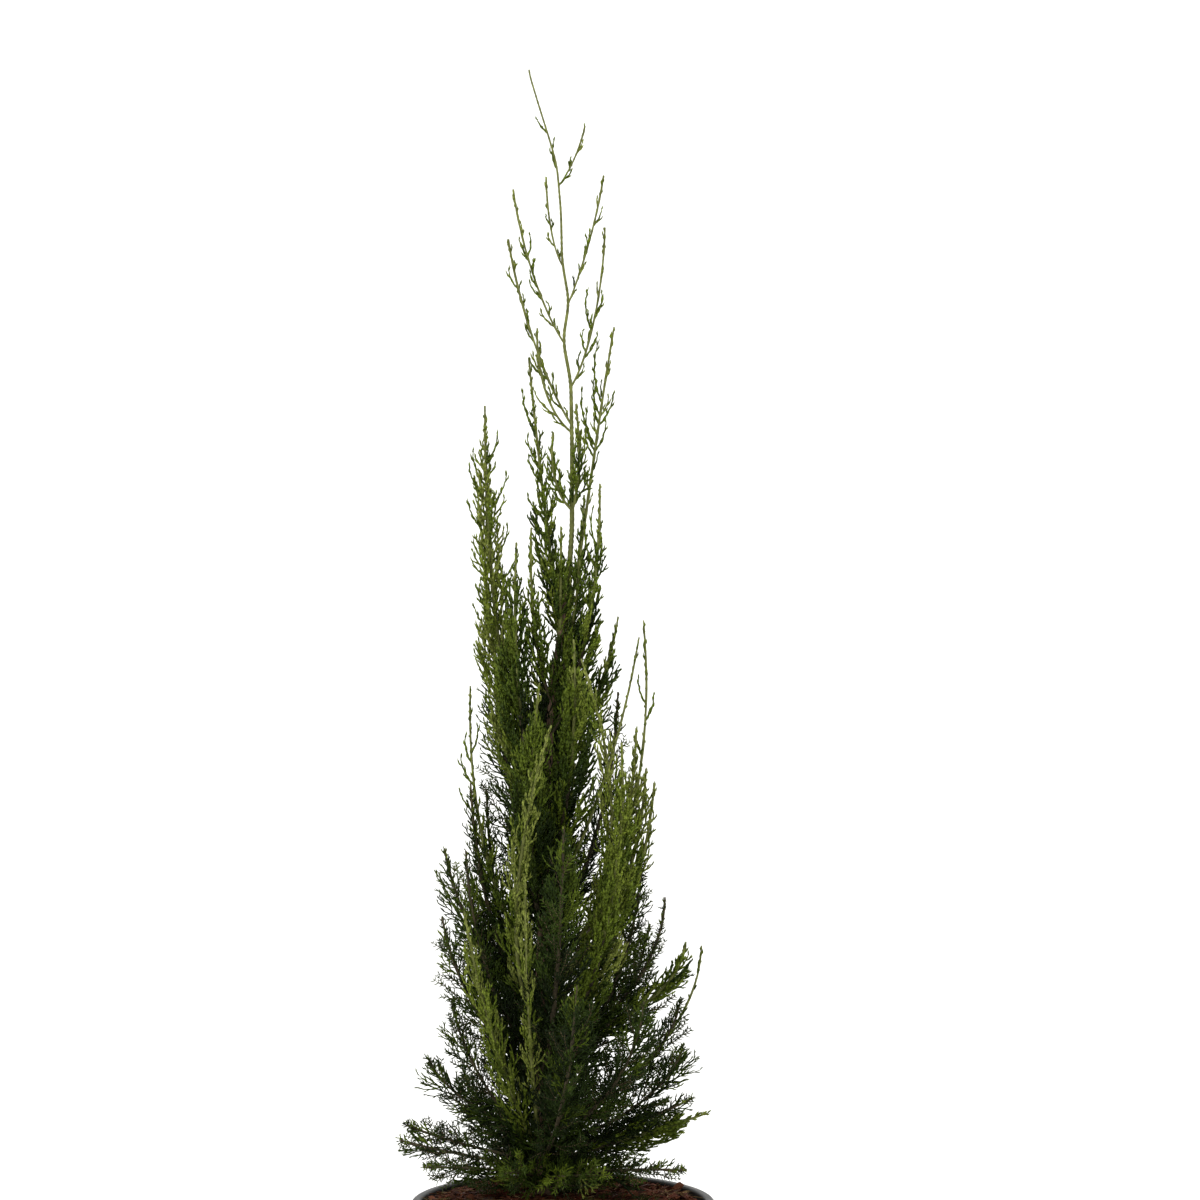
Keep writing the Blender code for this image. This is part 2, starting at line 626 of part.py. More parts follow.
def sized_spray(kind, root, heading, length, roll, most):
    """A spray whose root is as thick as its length asks, up to what it grows out of."""
    radius = kind.radius * (length / SPRAY_LENGTH) ** SPRAY_THINNING
    return Spray(root, root + heading * length, min(most, radius), roll)


def forked_spray(bough, root, heading, length, most, rng, space):
    """A spray, shortened until it fits, and on some a side spray that stands out of it."""
    forks = rng.random() < bough.kind.forks
    rolls = rng.uniform(0, 2, 2).tolist()
    turn = rng.uniform(0, 2 * math.pi)
    tried = (sized_spray(bough.kind, root, heading, length * s, rolls[0], most) for s in SHORTER)
    spray = next((t for t in tried if space.clear(bough.name, t)), None)
    if spray is None:
        return []
    if not forks:
        return [spray]
    across = heading.orthogonal().normalized()
    across.rotate(Matrix.Rotation(turn, 3, heading))
    branch = heading * math.cos(FORK_ANGLE) + across * math.sin(FORK_ANGLE)
    length = (spray.tip - root).length * FORK_LENGTH
    fork = root.lerp(spray.tip, FORK_AT)
    most = spray.radius * (1 - FORK_AT) * ROOT_IN_STEM
    side = sized_spray(bough.kind, fork, branch, length, rolls[1], most)
    return [spray, side] if space.clear(bough.name, side) else [spray]


def faces_joined_to(face):
    """The faces reached from this one over edges that two faces share."""
    joined, waiting = set(), [face]
    while waiting:
        face = waiting.pop()
        if face in joined:
            continue
        joined.add(face)
        for edge in face.edges:
            if len(edge.link_faces) == 2:
                waiting += edge.link_faces
    return joined


def largest_body(obj):
    """Drops loose scraps and fills sealed hollows: only the outer shell of the union stays."""
    shape = bmesh.new()
    shape.from_mesh(obj.data)
    bmesh.ops.remove_doubles(shape, verts=shape.verts, dist=UNION_WELD)
    left, bodies = set(shape.faces), []
    while left:
        bodies.append(faces_joined_to(next(iter(left))))
        left -= bodies[-1]
    keep = max(bodies, key=len)
    scraps = [face for body in bodies if body is not keep for face in body]
    bmesh.ops.delete(shape, geom=scraps, context="FACES")
    loose = [v for v in shape.verts if not v.link_faces]
    bmesh.ops.delete(shape, geom=loose, context="VERTS")
    shape.to_mesh(obj.data)
    shape.free()


def stem_radii(bough, line, shares, space):
    """The stem's taper, swollen to a core in the mass as far as its space allows."""
    taper = np.array([radius_along(bough, s) for s in shares])
    leafy = np.clip((np.array(shares) - bough.bare) / (1 - bough.bare), 0, 1)
    swell = np.sin(np.pi * leafy**CORE_PEAK) ** CORE_FULLNESS
    places = [tuple(point_along(line, s)[0]) for s in shares]
    core = np.minimum(bough.kind.core * bough.spread, CORE_SHARE * space.room(bough.name, places))
    return np.maximum(taper, core * swell).tolist()


def make_mass(bough, collection, helpers, mat, space):
    """A stem that goes on from the bough's limb or the trunk, and its sprays, fused."""
    line = bough_line(bough)
    kind = bough.kind
    if bough.bare:
        shares = np.linspace(bough.bare + GAP / line_length(line), 1, kind.points).tolist()
        points = [point_along(line, s)[0] for s in shares]
    else:
        points = limb_points(bough, line, 1, kind.points)
        shares = [0, *np.linspace(0, 1, kind.points).tolist()]
    radii = stem_radii(bough, line, shares, space)
    mass = tapered_tube("foliage_" + bough.name, points, radii, kind.sides, collection, mat)
    for k, spray in enumerate(sprays_of(bough, line, (shares, radii), space)):
        spray_spike(f"spray_{k}", spray, helpers, mat)
    union = mass.modifiers.new("sprays", "BOOLEAN")
    union.operation = "UNION"
    union.operand_type = "COLLECTION"
    union.collection = helpers
    apply_modifiers(mass)
    for obj in list(helpers.objects):
        bpy.data.objects.remove(obj)
    largest_body(mass)
    mass.data.shade_flat()
    return mass


def main():
    clear_scene()
    seedling = new_collection("eastern_red_cedar_seedling")
    cutters = new_collection("drain_cutters")
    spray_pieces = new_collection("spray_pieces")
    bark = material("bark", BARK)
    greens = {name: material(name, colour) for name, colour in FOLIAGE.items()}
    make_pot(seedling, cutters, material("pot_plastic", POT_PLASTIC))
    make_mulch(seedling, material("bark_mulch", MULCH))
    make_trunk(seedling, bark)
    boughs = LEADER_SHOOTS + MAIN_BOUGHS
    space = Space(boughs)
    for bough in boughs:
        if bough.bare:
            make_limb(bough, seedling, bark)
        make_mass(bough, seedling, spray_pieces, greens[bough.kind.foliage], space)


main()
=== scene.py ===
"""The looks of the potted eastern red cedar seedling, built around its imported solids.

Metres, +Z up, the same frame as the solids: the origin is under the middle of the pot and -Y is
the front. The trunk's and the boughs' lines follow the same rule as the solids do. Here each
bough's sprays are carried on to branchlets, twiglets and needles.
"""

import json
import math
from collections import namedtuple

import bpy
import numpy as np
from mathutils import Matrix, Vector, noise

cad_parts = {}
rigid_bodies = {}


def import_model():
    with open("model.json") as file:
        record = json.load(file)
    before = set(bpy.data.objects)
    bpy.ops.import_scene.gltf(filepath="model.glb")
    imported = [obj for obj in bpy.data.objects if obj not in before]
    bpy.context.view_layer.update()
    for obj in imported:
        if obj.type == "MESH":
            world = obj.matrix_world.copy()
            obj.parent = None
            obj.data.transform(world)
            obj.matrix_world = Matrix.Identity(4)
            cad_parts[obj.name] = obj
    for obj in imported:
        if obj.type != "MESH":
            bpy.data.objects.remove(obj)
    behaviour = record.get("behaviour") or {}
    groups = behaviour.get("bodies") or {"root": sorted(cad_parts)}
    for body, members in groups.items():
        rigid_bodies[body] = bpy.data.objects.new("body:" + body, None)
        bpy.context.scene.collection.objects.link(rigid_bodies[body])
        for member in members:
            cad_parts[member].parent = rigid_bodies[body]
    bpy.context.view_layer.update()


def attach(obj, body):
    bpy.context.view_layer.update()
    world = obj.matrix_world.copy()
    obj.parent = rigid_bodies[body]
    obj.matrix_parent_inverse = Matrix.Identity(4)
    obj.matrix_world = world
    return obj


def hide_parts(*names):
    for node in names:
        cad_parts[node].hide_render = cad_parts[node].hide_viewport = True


# Sizes of the pot and of the mulch, as in the solids
POT_HEIGHT = 0.165
POT_RIM_RADIUS = 0.0825
POT_BASE_RADIUS = 0.063
POT_WALL = 0.0016
POT_FLOOR = 0.0025
LIP_HEIGHT = 0.009
LIP_OVERHANG = 0.0035
LIP_ROUND = 0.0016
FOOT_CHAMFER = 0.002
DRAIN_HOLES = 6
DRAIN_RADIUS = 0.006
DRAIN_CIRCLE = 0.044
MULCH_EDGE_DROP = 0.004
MULCH_DOME = 0.0075
MULCH_TOP = POT_HEIGHT - MULCH_EDGE_DROP + MULCH_DOME

# Finer shape of the pot
POT_SEGMENTS = 144
COLLAR_HEIGHT = 0.024
COLLAR_STEP = 0.0006

# Sizes of the plant, as in the solids
GROUND = 0.168
TREE_TOP = 0.779
TRUNK_BASE_RADIUS = 0.0042
TRUNK_TIP_RADIUS = 0.0005
TRUNK_TAPER = 1.6
TRUNK_SMOOTHING = 0.006
ROOT_FLARE = 0.003
ROOT_FLARE_HEIGHT = 0.009
# Where the trunk's middle line bends: height above the ground, and sideways offset.
TRUNK_BENDS = (
    (0.168, -0.012), (0.274, -0.012), (0.355, -0.0098), (0.426, -0.007), (0.456, -0.004),
    (0.498, 0.0027), (0.529, 0.0049), (0.574, 0.0049), (0.609, 0.0043), (0.632, 0),
    (0.653, 0.0033), (0.675, -0.0005), (0.702, -0.0011), (0.727, -0.0033), (0.74, -0.007),
    (0.761, -0.0136), (0.779, -0.019),
)
LIMB_RADIUS_SHARE = 0.011
LIMB_LEAST_RADIUS = 0.001
LIMB_OF_TRUNK = 0.62
STEM_TIP_RADIUS = 0.0006
STEM_TAPER = 0.9
LINE_POINTS = 40
FIRST_HANDLE_OUT = 0.62
FIRST_HANDLE_UP = 0.16
SECOND_HANDLE_OUT = 0.62
SECOND_HANDLE_UP = 0.58
PLUME_START = 0.5
PLUME_SWELL = 3
SPRAY_LEAST = 0.004
WIDTH_SLACK = 0.002
SPRAY_CUT = 0.85
LIFT = 0.22
UP = Vector((0, 0, 1))
MULCH_CLEAR = 0.004
SPRAY_BOW = 0.1
SPRAYS_FROM = 0.03
SPRAYS_SPAN = 0.95
LENGTH_SPREAD = 0.15
FULL_TURN = 2 * math.pi
GOLDEN_ANGLE = math.radians(137.5)
SPIRAL_SPREAD = 0.4

# A kind of mass. step, inner_deg, tip_deg, taper and lead: as in the solids. finer: how many
# sprays grow here for each of theirs. slim: share of the mass's width that they reach out to.
# gap: distance between the branchlets of a spray. branch: a branchlet's share of what is left
# of its spray. most: its greatest length. spray_deg: its angle. twiglets: distance between its
# own side shoots. radius: of the scaly shoots. needles: share of the sprays with young needles.
Kind = namedtuple(
    "Kind",
    "step inner_deg tip_deg taper lead finer slim gap branch most spray_deg twiglets radius needles",
)
SHOOT = Kind(0.012, 20, 13, 0.4, 0.006, 1.3, 0.55, 0.005, 0.45, 0.007, 13, 0.02, 0.00085, 0)
TWIG = Kind(0.012, 20, 13, 0.4, 0.006, 1.3, 0.55, 0.0046, 0.36, 0.005, 12, 0.02, 0.0009, 0)
WISP = Kind(0.0105, 24, 10, 1.5, 0.01, 2.2, 0.75, 0.0044, 0.6, 0.012, 13, 0.005, 0.0008, 0)
SPIRE = Kind(0.01, 20, 11, 0.75, 0.01, 3.3, 0.8, 0.0034, 0.65, 0.016, 13, 0.0042, 0.0009, 0.02)
DENSE = Kind(0.0102, 46, 24, 0.6, 0.004, 5.2, 0.95, 0.0029, 0.7, 0.016, 22, 0.0036, 0.00061, 0.22)

# leaves_at: height on the trunk. tip: furthest point. sweep: share of the sideways reach that
# is gained at once. spread: half the width of its mass. bow: how far the middle swings off.
# bare: leafless share of the length.
Bough = namedtuple("Bough", "name leaves_at tip sweep spread kind bow bare", defaults=((0, 0, 0), 0))


def metres(millimetres):
    return tuple(value / 1000 for value in millimetres)


def boughs(*rows):
    """Boughs in metres, from rows in millimetres."""
    made = []
    for bough in (Bough(*row) for row in rows):
        at, spread = metres((bough.leaves_at, bough.spread))
        tip, bow = metres(bough.tip), metres(bough.bow)
        made.append(bough._replace(leaves_at=at, tip=tip, spread=spread, bow=bow))
    return tuple(made)


LEADER_SHOOTS = boughs(
    ("crown_right", 716, (11.9, -2, 748), 0.5, 4, SHOOT),
    ("crown_left", 672, (-9.2, 3, 721), 0.9, 4, SHOOT),
    ("leader_right", 651.5, (22.1, -4, 721), 0.4, 5, SHOOT),
    ("leader_left", 630.5, (-27, -3, 713.6), 0.55, 6, SHOOT),
    ("leader_right_low", 606.5, (22.8, 6, 694), 0.6, 7, SHOOT, (2, 0, 0)),
    ("leader_left_long", 586, (-29.9, 5, 687.6), 0.5, 7, SHOOT, (0, 4, 0)),
    ("leader_left_plume", 582, (-13.8, -7, 638), 1.1, 7, SHOOT, (0, -3, 0)),
    ("leader_left_inner", 540, (-5, -10, 581.5), 0.9, 6, SPIRE, (-3, -2, 0)),
    ("leader_right_inner", 540, (7.1, -8, 597), 0.7, 7, SPIRE, (3, -3, 0)),
)

MAIN_BOUGHS = boughs(
    # Upper crown
    ("upper_left", 468, (-18.7, 4, 623), 0.3, 10.5, SPIRE, (1.5, 3, 0)),
    ("upper_left_front", 436, (-17, -12, 530), 0.8, 11, SPIRE, (-2, -4, 0)),
    ("upper_right_tall", 464, (27.8, 8, 640), 1.7, 7, SHOOT, (-21, 4, 0), 0.5),
    ("upper_right", 418, (20, -6, 554), 0.8, 12.5, SPIRE, (3, -3, 0)),
    ("upper_right_outer", 398, (30, 4, 482), 0.7, 14, SPIRE, (-1, 2, 0)),
    ("upper_back", 380, (4, 28, 500), 0.7, 17, SPIRE, (0, 4, 0)),
    ("mid_front", 340, (6, -30, 470), 0.8, 17, SPIRE, (4, -4, 0)),
    ("mid_back", 344, (-11, 24, 455), 0.8, 19, SPIRE, (0, 4, 0)),
    # Spires at the shoulders
    ("left_spire", 352, (-42.4, 0, 596.5), 0.62, 14.5, SPIRE, (-5, 0, 0), 0.14),
    ("left_spire_inner", 366, (-25, -12, 522), 0.8, 14, SPIRE, (-4, -4, 0)),
    ("left_back", 330, (-38, 30, 470), 0.7, 19, DENSE, (-2, 4, 0)),
    ("left_outer", 290, (-50.2, -3, 444.5), 0.95, 20, WISP, (-3, 0, 0)),
    ("right_outer_thin", 322, (41.2, -10, 471), 0.6, 16, WISP, (-2, -3, 0)),
    ("right_outer", 286, (43.8, 6, 480), 0.95, 18.5, WISP, (9, 0, 0), 0.12),
    ("right_shoulder", 258, (49.5, -2, 392), 0.85, 10, SPIRE),
    ("right_back", 306, (30, 36, 440), 0.8, 19, DENSE, (2, 4, 0)),
    # Front
    ("front_right_arch", 276, (10.1, -46, 460), 0.8, 17, WISP, (30, -8, 0), 0.12),
    ("front_right", 240, (31.5, -50, 416), 0.85, 15, SPIRE, (6, -6, 0)),
    ("front_left_arch", 258, (-5.7, -52, 425), 0.9, 16, WISP, (-22, -6, 0), 0.14),
    ("front_left_upper", 312, (-12, -34, 447), 0.8, 16, SPIRE, (-7, -6, 0)),
    ("front_mid", 230, (1, -54, 372), 0.85, 21, DENSE, (0, -6, 0)),
    ("front_left_low", 190, (-52, -38, 326), 0.62, 18, WISP, (4, -10, 0)),
    ("front_low", 186, (8, -66, 290), 0.75, 21, DENSE, (0, -4, 0)),
    ("front_right_low", 198, (43, -52, 280), 0.8, 21, DENSE, (2, -4, 0)),
    # Left flank, from the top down
    ("left_flank_top", 264, (-64.5, 2, 356), 0.75, 16, DENSE, (2, 0, 0)),
    ("left_flank", 232, (-65, -12, 320), 0.8, 16.5, DENSE, (2, 0, 0)),
    ("left_low", 200, (-74, 10, 241), 0.7, 17, DENSE),
    ("left_lowest", 182, (-88.5, -6, 199), 0.5, 16, DENSE, (0, 0, 2), 0.28),
    # Right flank, from the top down
    ("right_mid", 244, (55.5, 6, 329), 0.9, 18, DENSE, (2, 2, 0)),
    ("right_flank_top", 250, (66.2, -10, 306), 0.95, 15, SPIRE),
    ("right_flank_long", 206, (75.7, 12, 302), 0.85, 13, WISP, (4, 2, 0)),
    ("right_flank", 194, (65, -16, 252), 0.8, 18, DENSE),
    ("right_lowest", 182, (78, -4, 213), 0.3, 15, SPIRE, (0, 0, 4), 0.25),
    # Back, which fills the crown's depth
    ("back_high", 280, (-4, 56, 400), 0.8, 21, DENSE, (0, 3, 0)),
    ("back_low", 196, (-5, 70, 276), 0.75, 22, DENSE, (0, 4, 0)),
    ("back_left_low", 214, (-45, 50, 300), 0.75, 21, DENSE, (0, 2, 0)),
    ("back_right_low", 222, (48, 50, 310), 0.75, 21, DENSE, (0, 2, 0)),
    # The lowest ring, over the rim
    ("front_left_lowest", 178, (-74, -32, 189), 0.3, 15, DENSE, (0, 0, 3)),
    ("front_right_lowest", 177, (66, -36, 188), 0.3, 14, DENSE, (0, 0, 4)),
    ("back_left_lowest", 179, (-56, 56, 205), 0.3, 20, DENSE, (0, 0, 4)),
    ("back_right_lowest", 180, (56, 56, 202), 0.3, 20, DENSE, (0, 0, 4)),
)
# Lesser boughs, which the solids leave out, between the others.
FILL_BOUGHS = boughs(
    ("upper_trunk_fill", 470, (-1, -4, 530), 0.9, 8, SPIRE),
    ("upper_right_fill", 430, (11.5, -2, 548), 0.8, 9, SPIRE),
    ("left_flank_fill", 262, (-50, -4, 392), 0.85, 13, DENSE),
    ("left_flank_inner", 250, (-42, 10, 388), 0.85, 14, DENSE),
    ("left_flank_front", 240, (-52, -16, 356), 0.85, 14, DENSE),
    ("left_low_fill", 196, (-60, -8, 275), 0.7, 15, DENSE),
    ("left_inner_fill", 190, (-55, 12, 235), 0.7, 14, DENSE),
    ("left_lowest_fan", 186, (-85, 2, 206), 0.5, 11, DENSE, (0, 0, 1), 0.4),
    ("right_plume", 276, (39.6, -12, 422), 0.85, 9, SPIRE, (2, 0, 0), 0.3),
    ("right_plume_outer", 266, (45, -8, 400), 0.85, 8, SPIRE, (1, 0, 0), 0.3),
    ("right_mid_fill", 228, (43, 2, 352), 0.9, 15, DENSE),
    ("right_flank_fill", 204, (64, 4, 274), 0.85, 13, DENSE, (0, 0, 0), 0.2),
    ("right_lowest_fan", 184, (70, -10, 222), 0.4, 10, DENSE, (0, 0, 6), 0.4),
    ("front_left_band", 196, (-19.4, -50, 346), 0.75, 10, WISP, (0, -10, 0), 0.2),
    ("foot_front", 174, (2, -48, 187), 0.4, 15, DENSE, (0, 0, 4)),
    ("foot_front_left", 176, (-30, -44, 188), 0.4, 15, DENSE, (0, 0, 4)),
    ("foot_front_right", 175, (24, -42, 186), 0.4, 15, DENSE, (0, 0, 4)),
    ("foot_left", 177, (-56, -18, 186), 0.4, 13, DENSE, (0, 0, 3)),
    ("foot_right", 176, (40, -16, 187), 0.4, 13, DENSE, (0, 0, 3)),
    ("foot_back", 175, (6, 46, 188), 0.4, 15, DENSE, (0, 0, 4)),
    ("foot_back_left", 177, (-40, 34, 188), 0.4, 15, DENSE, (0, 0, 4)),
    ("foot_back_right", 176, (34, 30, 188), 0.4, 15, DENSE, (0, 0, 4)),
)
ALL_BOUGHS = LEADER_SHOOTS + MAIN_BOUGHS + FILL_BOUGHS

# Boughs whose sprays differ from their kind's: how many steps of the greens brighter they are,
# how sharply the mass draws in towards its tip, and how many sprays it bears and how wide it is
# against its kind.
Habit = namedtuple("Habit", "brighter taper fullness width", defaults=(0, None, 1, 1))
# The brighter steps of the front boughs are painted light.
HABITS = {
    "leader_left_inner": Habit(0.8),
    "leader_right_inner": Habit(1.4),
    "upper_left": Habit(0.8, 1.2),
    "upper_left_front": Habit(0.8, 1.2, 1, 0.9),
    "upper_right": Habit(0, 1.2),
    "upper_right_outer": Habit(0, 1.2),
    "left_spire": Habit(1.6),
    "left_outer": Habit(0.8, 2.4, 1.2, 1.2),
    "right_outer_thin": Habit(1, 3, 1, 0.8),
    "right_outer": Habit(1.2, 3),
    "right_shoulder": Habit(0.8, 0.9, 0.9, 0.8),
    "right_back": Habit(0, 0.8, 1, 0.9),
    "front_right_arch": Habit(1.8, 0.8, 1.4, 0.8),
    "front_right": Habit(0.8),
    "front_left_arch": Habit(2.4, 0.7, 1.5, 0.7),
    "front_left_low": Habit(1.6, 0.7, 1.5, 0.7),
    "left_lowest": Habit(0, 0.6, 0.7),
    "right_mid": Habit(0, 1.4, 1, 0.8),
    "right_flank_top": Habit(0, 1),
    "right_flank_long": Habit(0, 1.6, 0.8, 0.55),
    "right_lowest": Habit(0.8),
    "right_plume": Habit(1.4),
    "right_plume_outer": Habit(1.2),
    "front_left_band": Habit(2.4, 0.6, 1.6, 0.7),
    "foot_front": Habit(1.6),
    "foot_front_left": Habit(1.8),
    "foot_front_right": Habit(1.6),
    "foot_left": Habit(1.2),
    "foot_right": Habit(1.2),
}

# Single twigs that stand out against the sky, under the line that they leave: the height where
# each does, and its tip's sideways place and height, in millimetres.
SKY_TWIGS = {
    "trunk": ((744.6, -14.1, 752.9), (725.6, -4.3, 742.7)),
    "crown_left": ((695.2, -9.4, 699.8),),
    "leader_right": ((677.2, 12.2, 689.7), (663.7, 8.1, 674.5)),
    "leader_left": (
        (677.2, -18.3, 690.3), (674.5, -21.7, 683.4), (662.6, -15.2, 676.5), (653.9, -18.5, 664.8),
        (636, -4.3, 645.2),
    ),
    "leader_right_low": ((644.1, 20.9, 659.3), (637.6, 14.1, 662), (625.7, 11.1, 638.7)),
    "leader_left_long": (
        (651.2, -23.1, 665.3), (634.9, -19.5, 649.6), (610.5, -18.7, 622.9), (598.5, -4.9, 615.9),
    ),
    "upper_right_tall": (
        (598.5, 20.1, 634.4), (591.5, 17.9, 616.4), (586, 27.7, 606.1), (587, 19, 611.5),
        (575, 10.9, 608.8), (572, 13.6, 598), (569, 12.2, 586), (572, 23.2, 591.5),
    ),
    "upper_right": ((518, 16.8, 542.5), (508, 12.5, 533), (505, 19.6, 529)),
    "upper_left": (
        (583, -21.7, 606.7), (564, -19.5, 582.2), (554, -19, 571.4), (534, -19.8, 549.7),
        (524, -17.9, 539.9), (534, -4.3, 548.6),
    ),
    "left_spire": (
        (564, -35.8, 584.4), (552, -48.9, 573), (544, -51, 566.5), (539, -30.4, 561.6),
        (525, -52.1, 546.9), (510, -30.1, 533.4), (496, -24.4, 519.2), (480, -47.2, 500.8),
        (469, -48.9, 489.9), (447, -48.3, 468.2),
    ),
    "right_outer": ((434, 41.3, 451.1), (425, 49.2, 441), (406, 40.5, 422), (370, 50.5, 392.2)),
    "left_outer": (
        (408, -46.7, 425.3), (402, -52.7, 419.3), (390, -55.4, 407.9), (373, -56.5, 388.9),
    ),
    "crown_right": ((713, 1.5, 721.8), (722, 4.3, 730.5)),
}
SKY_TWIG_BOW = 0.1
SKY_TWIG_DEPTH = 0.003
SKY_GREEN = 4
# Where a bough's end shoot starts, as a share of its length.
TERMINAL_FROM = 0.86

# The greens, from the crown's shaded inside to the newest shoots
GREENS = (
    (0.008, 0.017, 0.001),
    (0.017, 0.034, 0.002),
    (0.036, 0.062, 0.004),
    (0.07, 0.105, 0.007),
    (0.115, 0.16, 0.012),
    (0.16, 0.205, 0.022),
    (0.205, 0.24, 0.045),
)
GREEN_SLOTS = ("foliage_dark",) * 3 + ("foliage_mid",) * 2 + ("foliage_light",) * 2
# Each kind's first step of the greens: the dense lower masses start darkest, as painted shade of the
# crown's thick lower part.
KIND_GREEN = {SHOOT: 5.2, WISP: 3.2, SPIRE: 3.2, DENSE: 1.7}
GREEN_SPREAD = 1
# Steps brighter at the crown's outside and darker inside it: painted light and painted shade.
OUTSIDE_LIGHT_INSIDE_SHADE = 1.1
TIP_GREEN = 1.6
# How wide the crown is at its tip, and how much wider with each metre below it.
CROWN_TIP_WIDTH = 0.02
CROWN_FLARE = 0.25

# Scaly shoots: distance between pairs of scales, widths of tip and foot, range of their rolls
SCALE_PITCH = 0.0021
SHOOT_TIP = 0.38
SHOOT_FOOT = 0.72
SHOOT_ROLLS = (0, 6)
# How much the lengths of branchlets and needles vary
LENGTH_LUCK = (0.7, 1.15)
# Branchlets of a spray, and twiglets of a branchlet
BRANCHLET_PLACE = (0.3, 0.9)
BRANCHLETS_SPAN = 0.94
BRANCHLET_TURN = 0.6
BRANCHLET_LEAST = 0.0022
BRANCHLET_THIN = 0.94
TWIG_LIFT = 0.12
TWIG_BOW = 0.12
TWIGLET_SHARE = 0.5
TWIGLET_LEAST = 0.0014
TWIGLET_MOST = 0.005
TWIGLET_ALONG = 0.94
TWIGLET_ASIDE = 0.33
TWIGLET_THIN = 0.86
TWIGLET_TURN = 0.5
TWIGLET_BOW = 0.06
# Young needles, in threes round thin twigs
NEEDLE_GAP = 0.0021
NEEDLE_LENGTH = 0.005
NEEDLE_RADIUS = 0.00042
NEEDLE_DEG = 48
NEEDLE_BOW = 0.05
NEEDLE_TWIG_SHARE = 0.6
NEEDLE_TWIG_LEAST = 0.003
NEEDLE_TWIG_MOST = 0.013
NEEDLE_TWIG_RADIUS = 0.00035
NEEDLE_SPRAY_RADIUS = 0.0004
# Needled sprays are rarest above a height and commonest this far below it.
FEW_NEEDLES_ABOVE = 0.42
NEEDLES_DEPTH = 0.2

# Sprays that spring from the trunk itself
FILLED_FROM = 0.176
FILLED_TO = 0.440
FILL_STEP = 0.0016
FILL_DEG = 48
FILL_WIDTH = 0.034
FILL_TAPER = 0.55
# The fill takes only this many of the darkest greens: painted shade of the crown's middle.
FILL_SHADE_GREENS = 3

for startup_object in list(bpy.data.objects):
    bpy.data.objects.remove(startup_object)
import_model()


# The trunk's and the boughs' lines, by the solids' own rule


def trunk_at(height):
    """The point on the trunk's middle line at a height, smoothed over its bends."""
    spread = height + np.linspace(-TRUNK_SMOOTHING, TRUNK_SMOOTHING, 7)
    return Vector((float(np.interp(spread, *np.array(TRUNK_BENDS).T).mean()), 0, height))


def trunk_radius(height):
    up = (height - GROUND) / (TREE_TOP - GROUND)
    taper = TRUNK_TIP_RADIUS + (TRUNK_BASE_RADIUS - TRUNK_TIP_RADIUS) * (1 - up) ** TRUNK_TAPER
    return taper + ROOT_FLARE * math.exp(-(height - GROUND) / ROOT_FLARE_HEIGHT)


def bough_line(bough):
    """LINE_POINTS points from inside the trunk to the tip: out along the sweep, then up."""
    start = trunk_at(bough.leaves_at)
    tip = Vector(bough.tip)
    reach = Vector((tip.x - start.x, tip.y - start.y, 0))
    rise = tip.z - start.z
    swing = Vector(bough.bow)
    second_out = SECOND_HANDLE_OUT + (1 - SECOND_HANDLE_OUT) * bough.sweep
    first = start + swing + reach * bough.sweep * FIRST_HANDLE_OUT
    first.z += rise * FIRST_HANDLE_UP
    second = start + swing + reach * second_out
    second.z += rise * SECOND_HANDLE_UP
    points = []
    for t in np.linspace(0, 1, LINE_POINTS).tolist():
        back = 1 - t
        pulls = (back**3, 3 * back**2 * t, 3 * back * t**2, t**3)
        points.append(sum((p * w for p, w in zip((start, first, second, tip), pulls)), Vector()))
    return points


def line_length(points):
    return sum((b - a).length for a, b in zip(points, points[1:]))


def point_along(points, share):
    """(point, unit tangent) at a share of the way along evenly numbered points."""
    place = min(max(share, 0.0), 0.9999) * (len(points) - 1)
    index = int(place)
    a, b = points[index : index + 2]
    return a.lerp(b, place - index), (b - a).normalized()


def share_at_height(points, height):
    """How far along a rising line a height is reached."""
    heights = [p.z for p in points]
    return float(np.interp(height, heights, np.linspace(0, 1, len(points))))


def radius_along(bough, share):
    """A bough's radius at a share of its length, which gives its radius at the trunk."""
    grown = max(LIMB_RADIUS_SHARE * line_length(bough_line(bough)), LIMB_LEAST_RADIUS)
    root = min(grown, LIMB_OF_TRUNK * trunk_radius(bough.leaves_at))
    return STEM_TIP_RADIUS + (root - STEM_TIP_RADIUS) * (1 - share) ** STEM_TAPER


def plume(share, taper):
    """How wide a mass is at a share of its leafy length, from 0 to 1."""
    return min(1.0, PLUME_START + PLUME_SWELL * share) * (1 - share) ** taper


# Directions


def circle_point(radius, turn):
    return radius * math.cos(turn), radius * math.sin(turn)


def side_of(unit, turn):
    """A unit vector square to another, turned round it."""
    side = unit.orthogonal().normalized()
    side.rotate(Matrix.Rotation(turn, 3, unit))
    return side


def leaning(unit, side, degrees):
    """The direction at an angle to a unit vector, towards its side."""
    angle = math.radians(degrees)
    return unit * math.cos(angle) + side * math.sin(angle)


# Meshes from arrays


def linked(name, data):
    """A new object of the scene."""
    made = bpy.data.objects.new(name, data)
    bpy.context.scene.collection.objects.link(made)
    return made


def add_piece(name, arrays, material, slot, smooth=False):
    """A dressed piece from its array of points and its array of triangles."""
    points, faces = arrays
    mesh = bpy.data.meshes.new(name)
    mesh.from_pydata(points, [], faces, shade_flat=not smooth)
    return dress(linked(name, mesh), material, slot)


def dress(piece, material, slot):
    """Gives a piece its material and the body that it rides on. The slot is not used."""
    piece.data.materials.clear()
    piece.data.materials.append(MATERIALS[material])
    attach(piece, "root")
    return piece


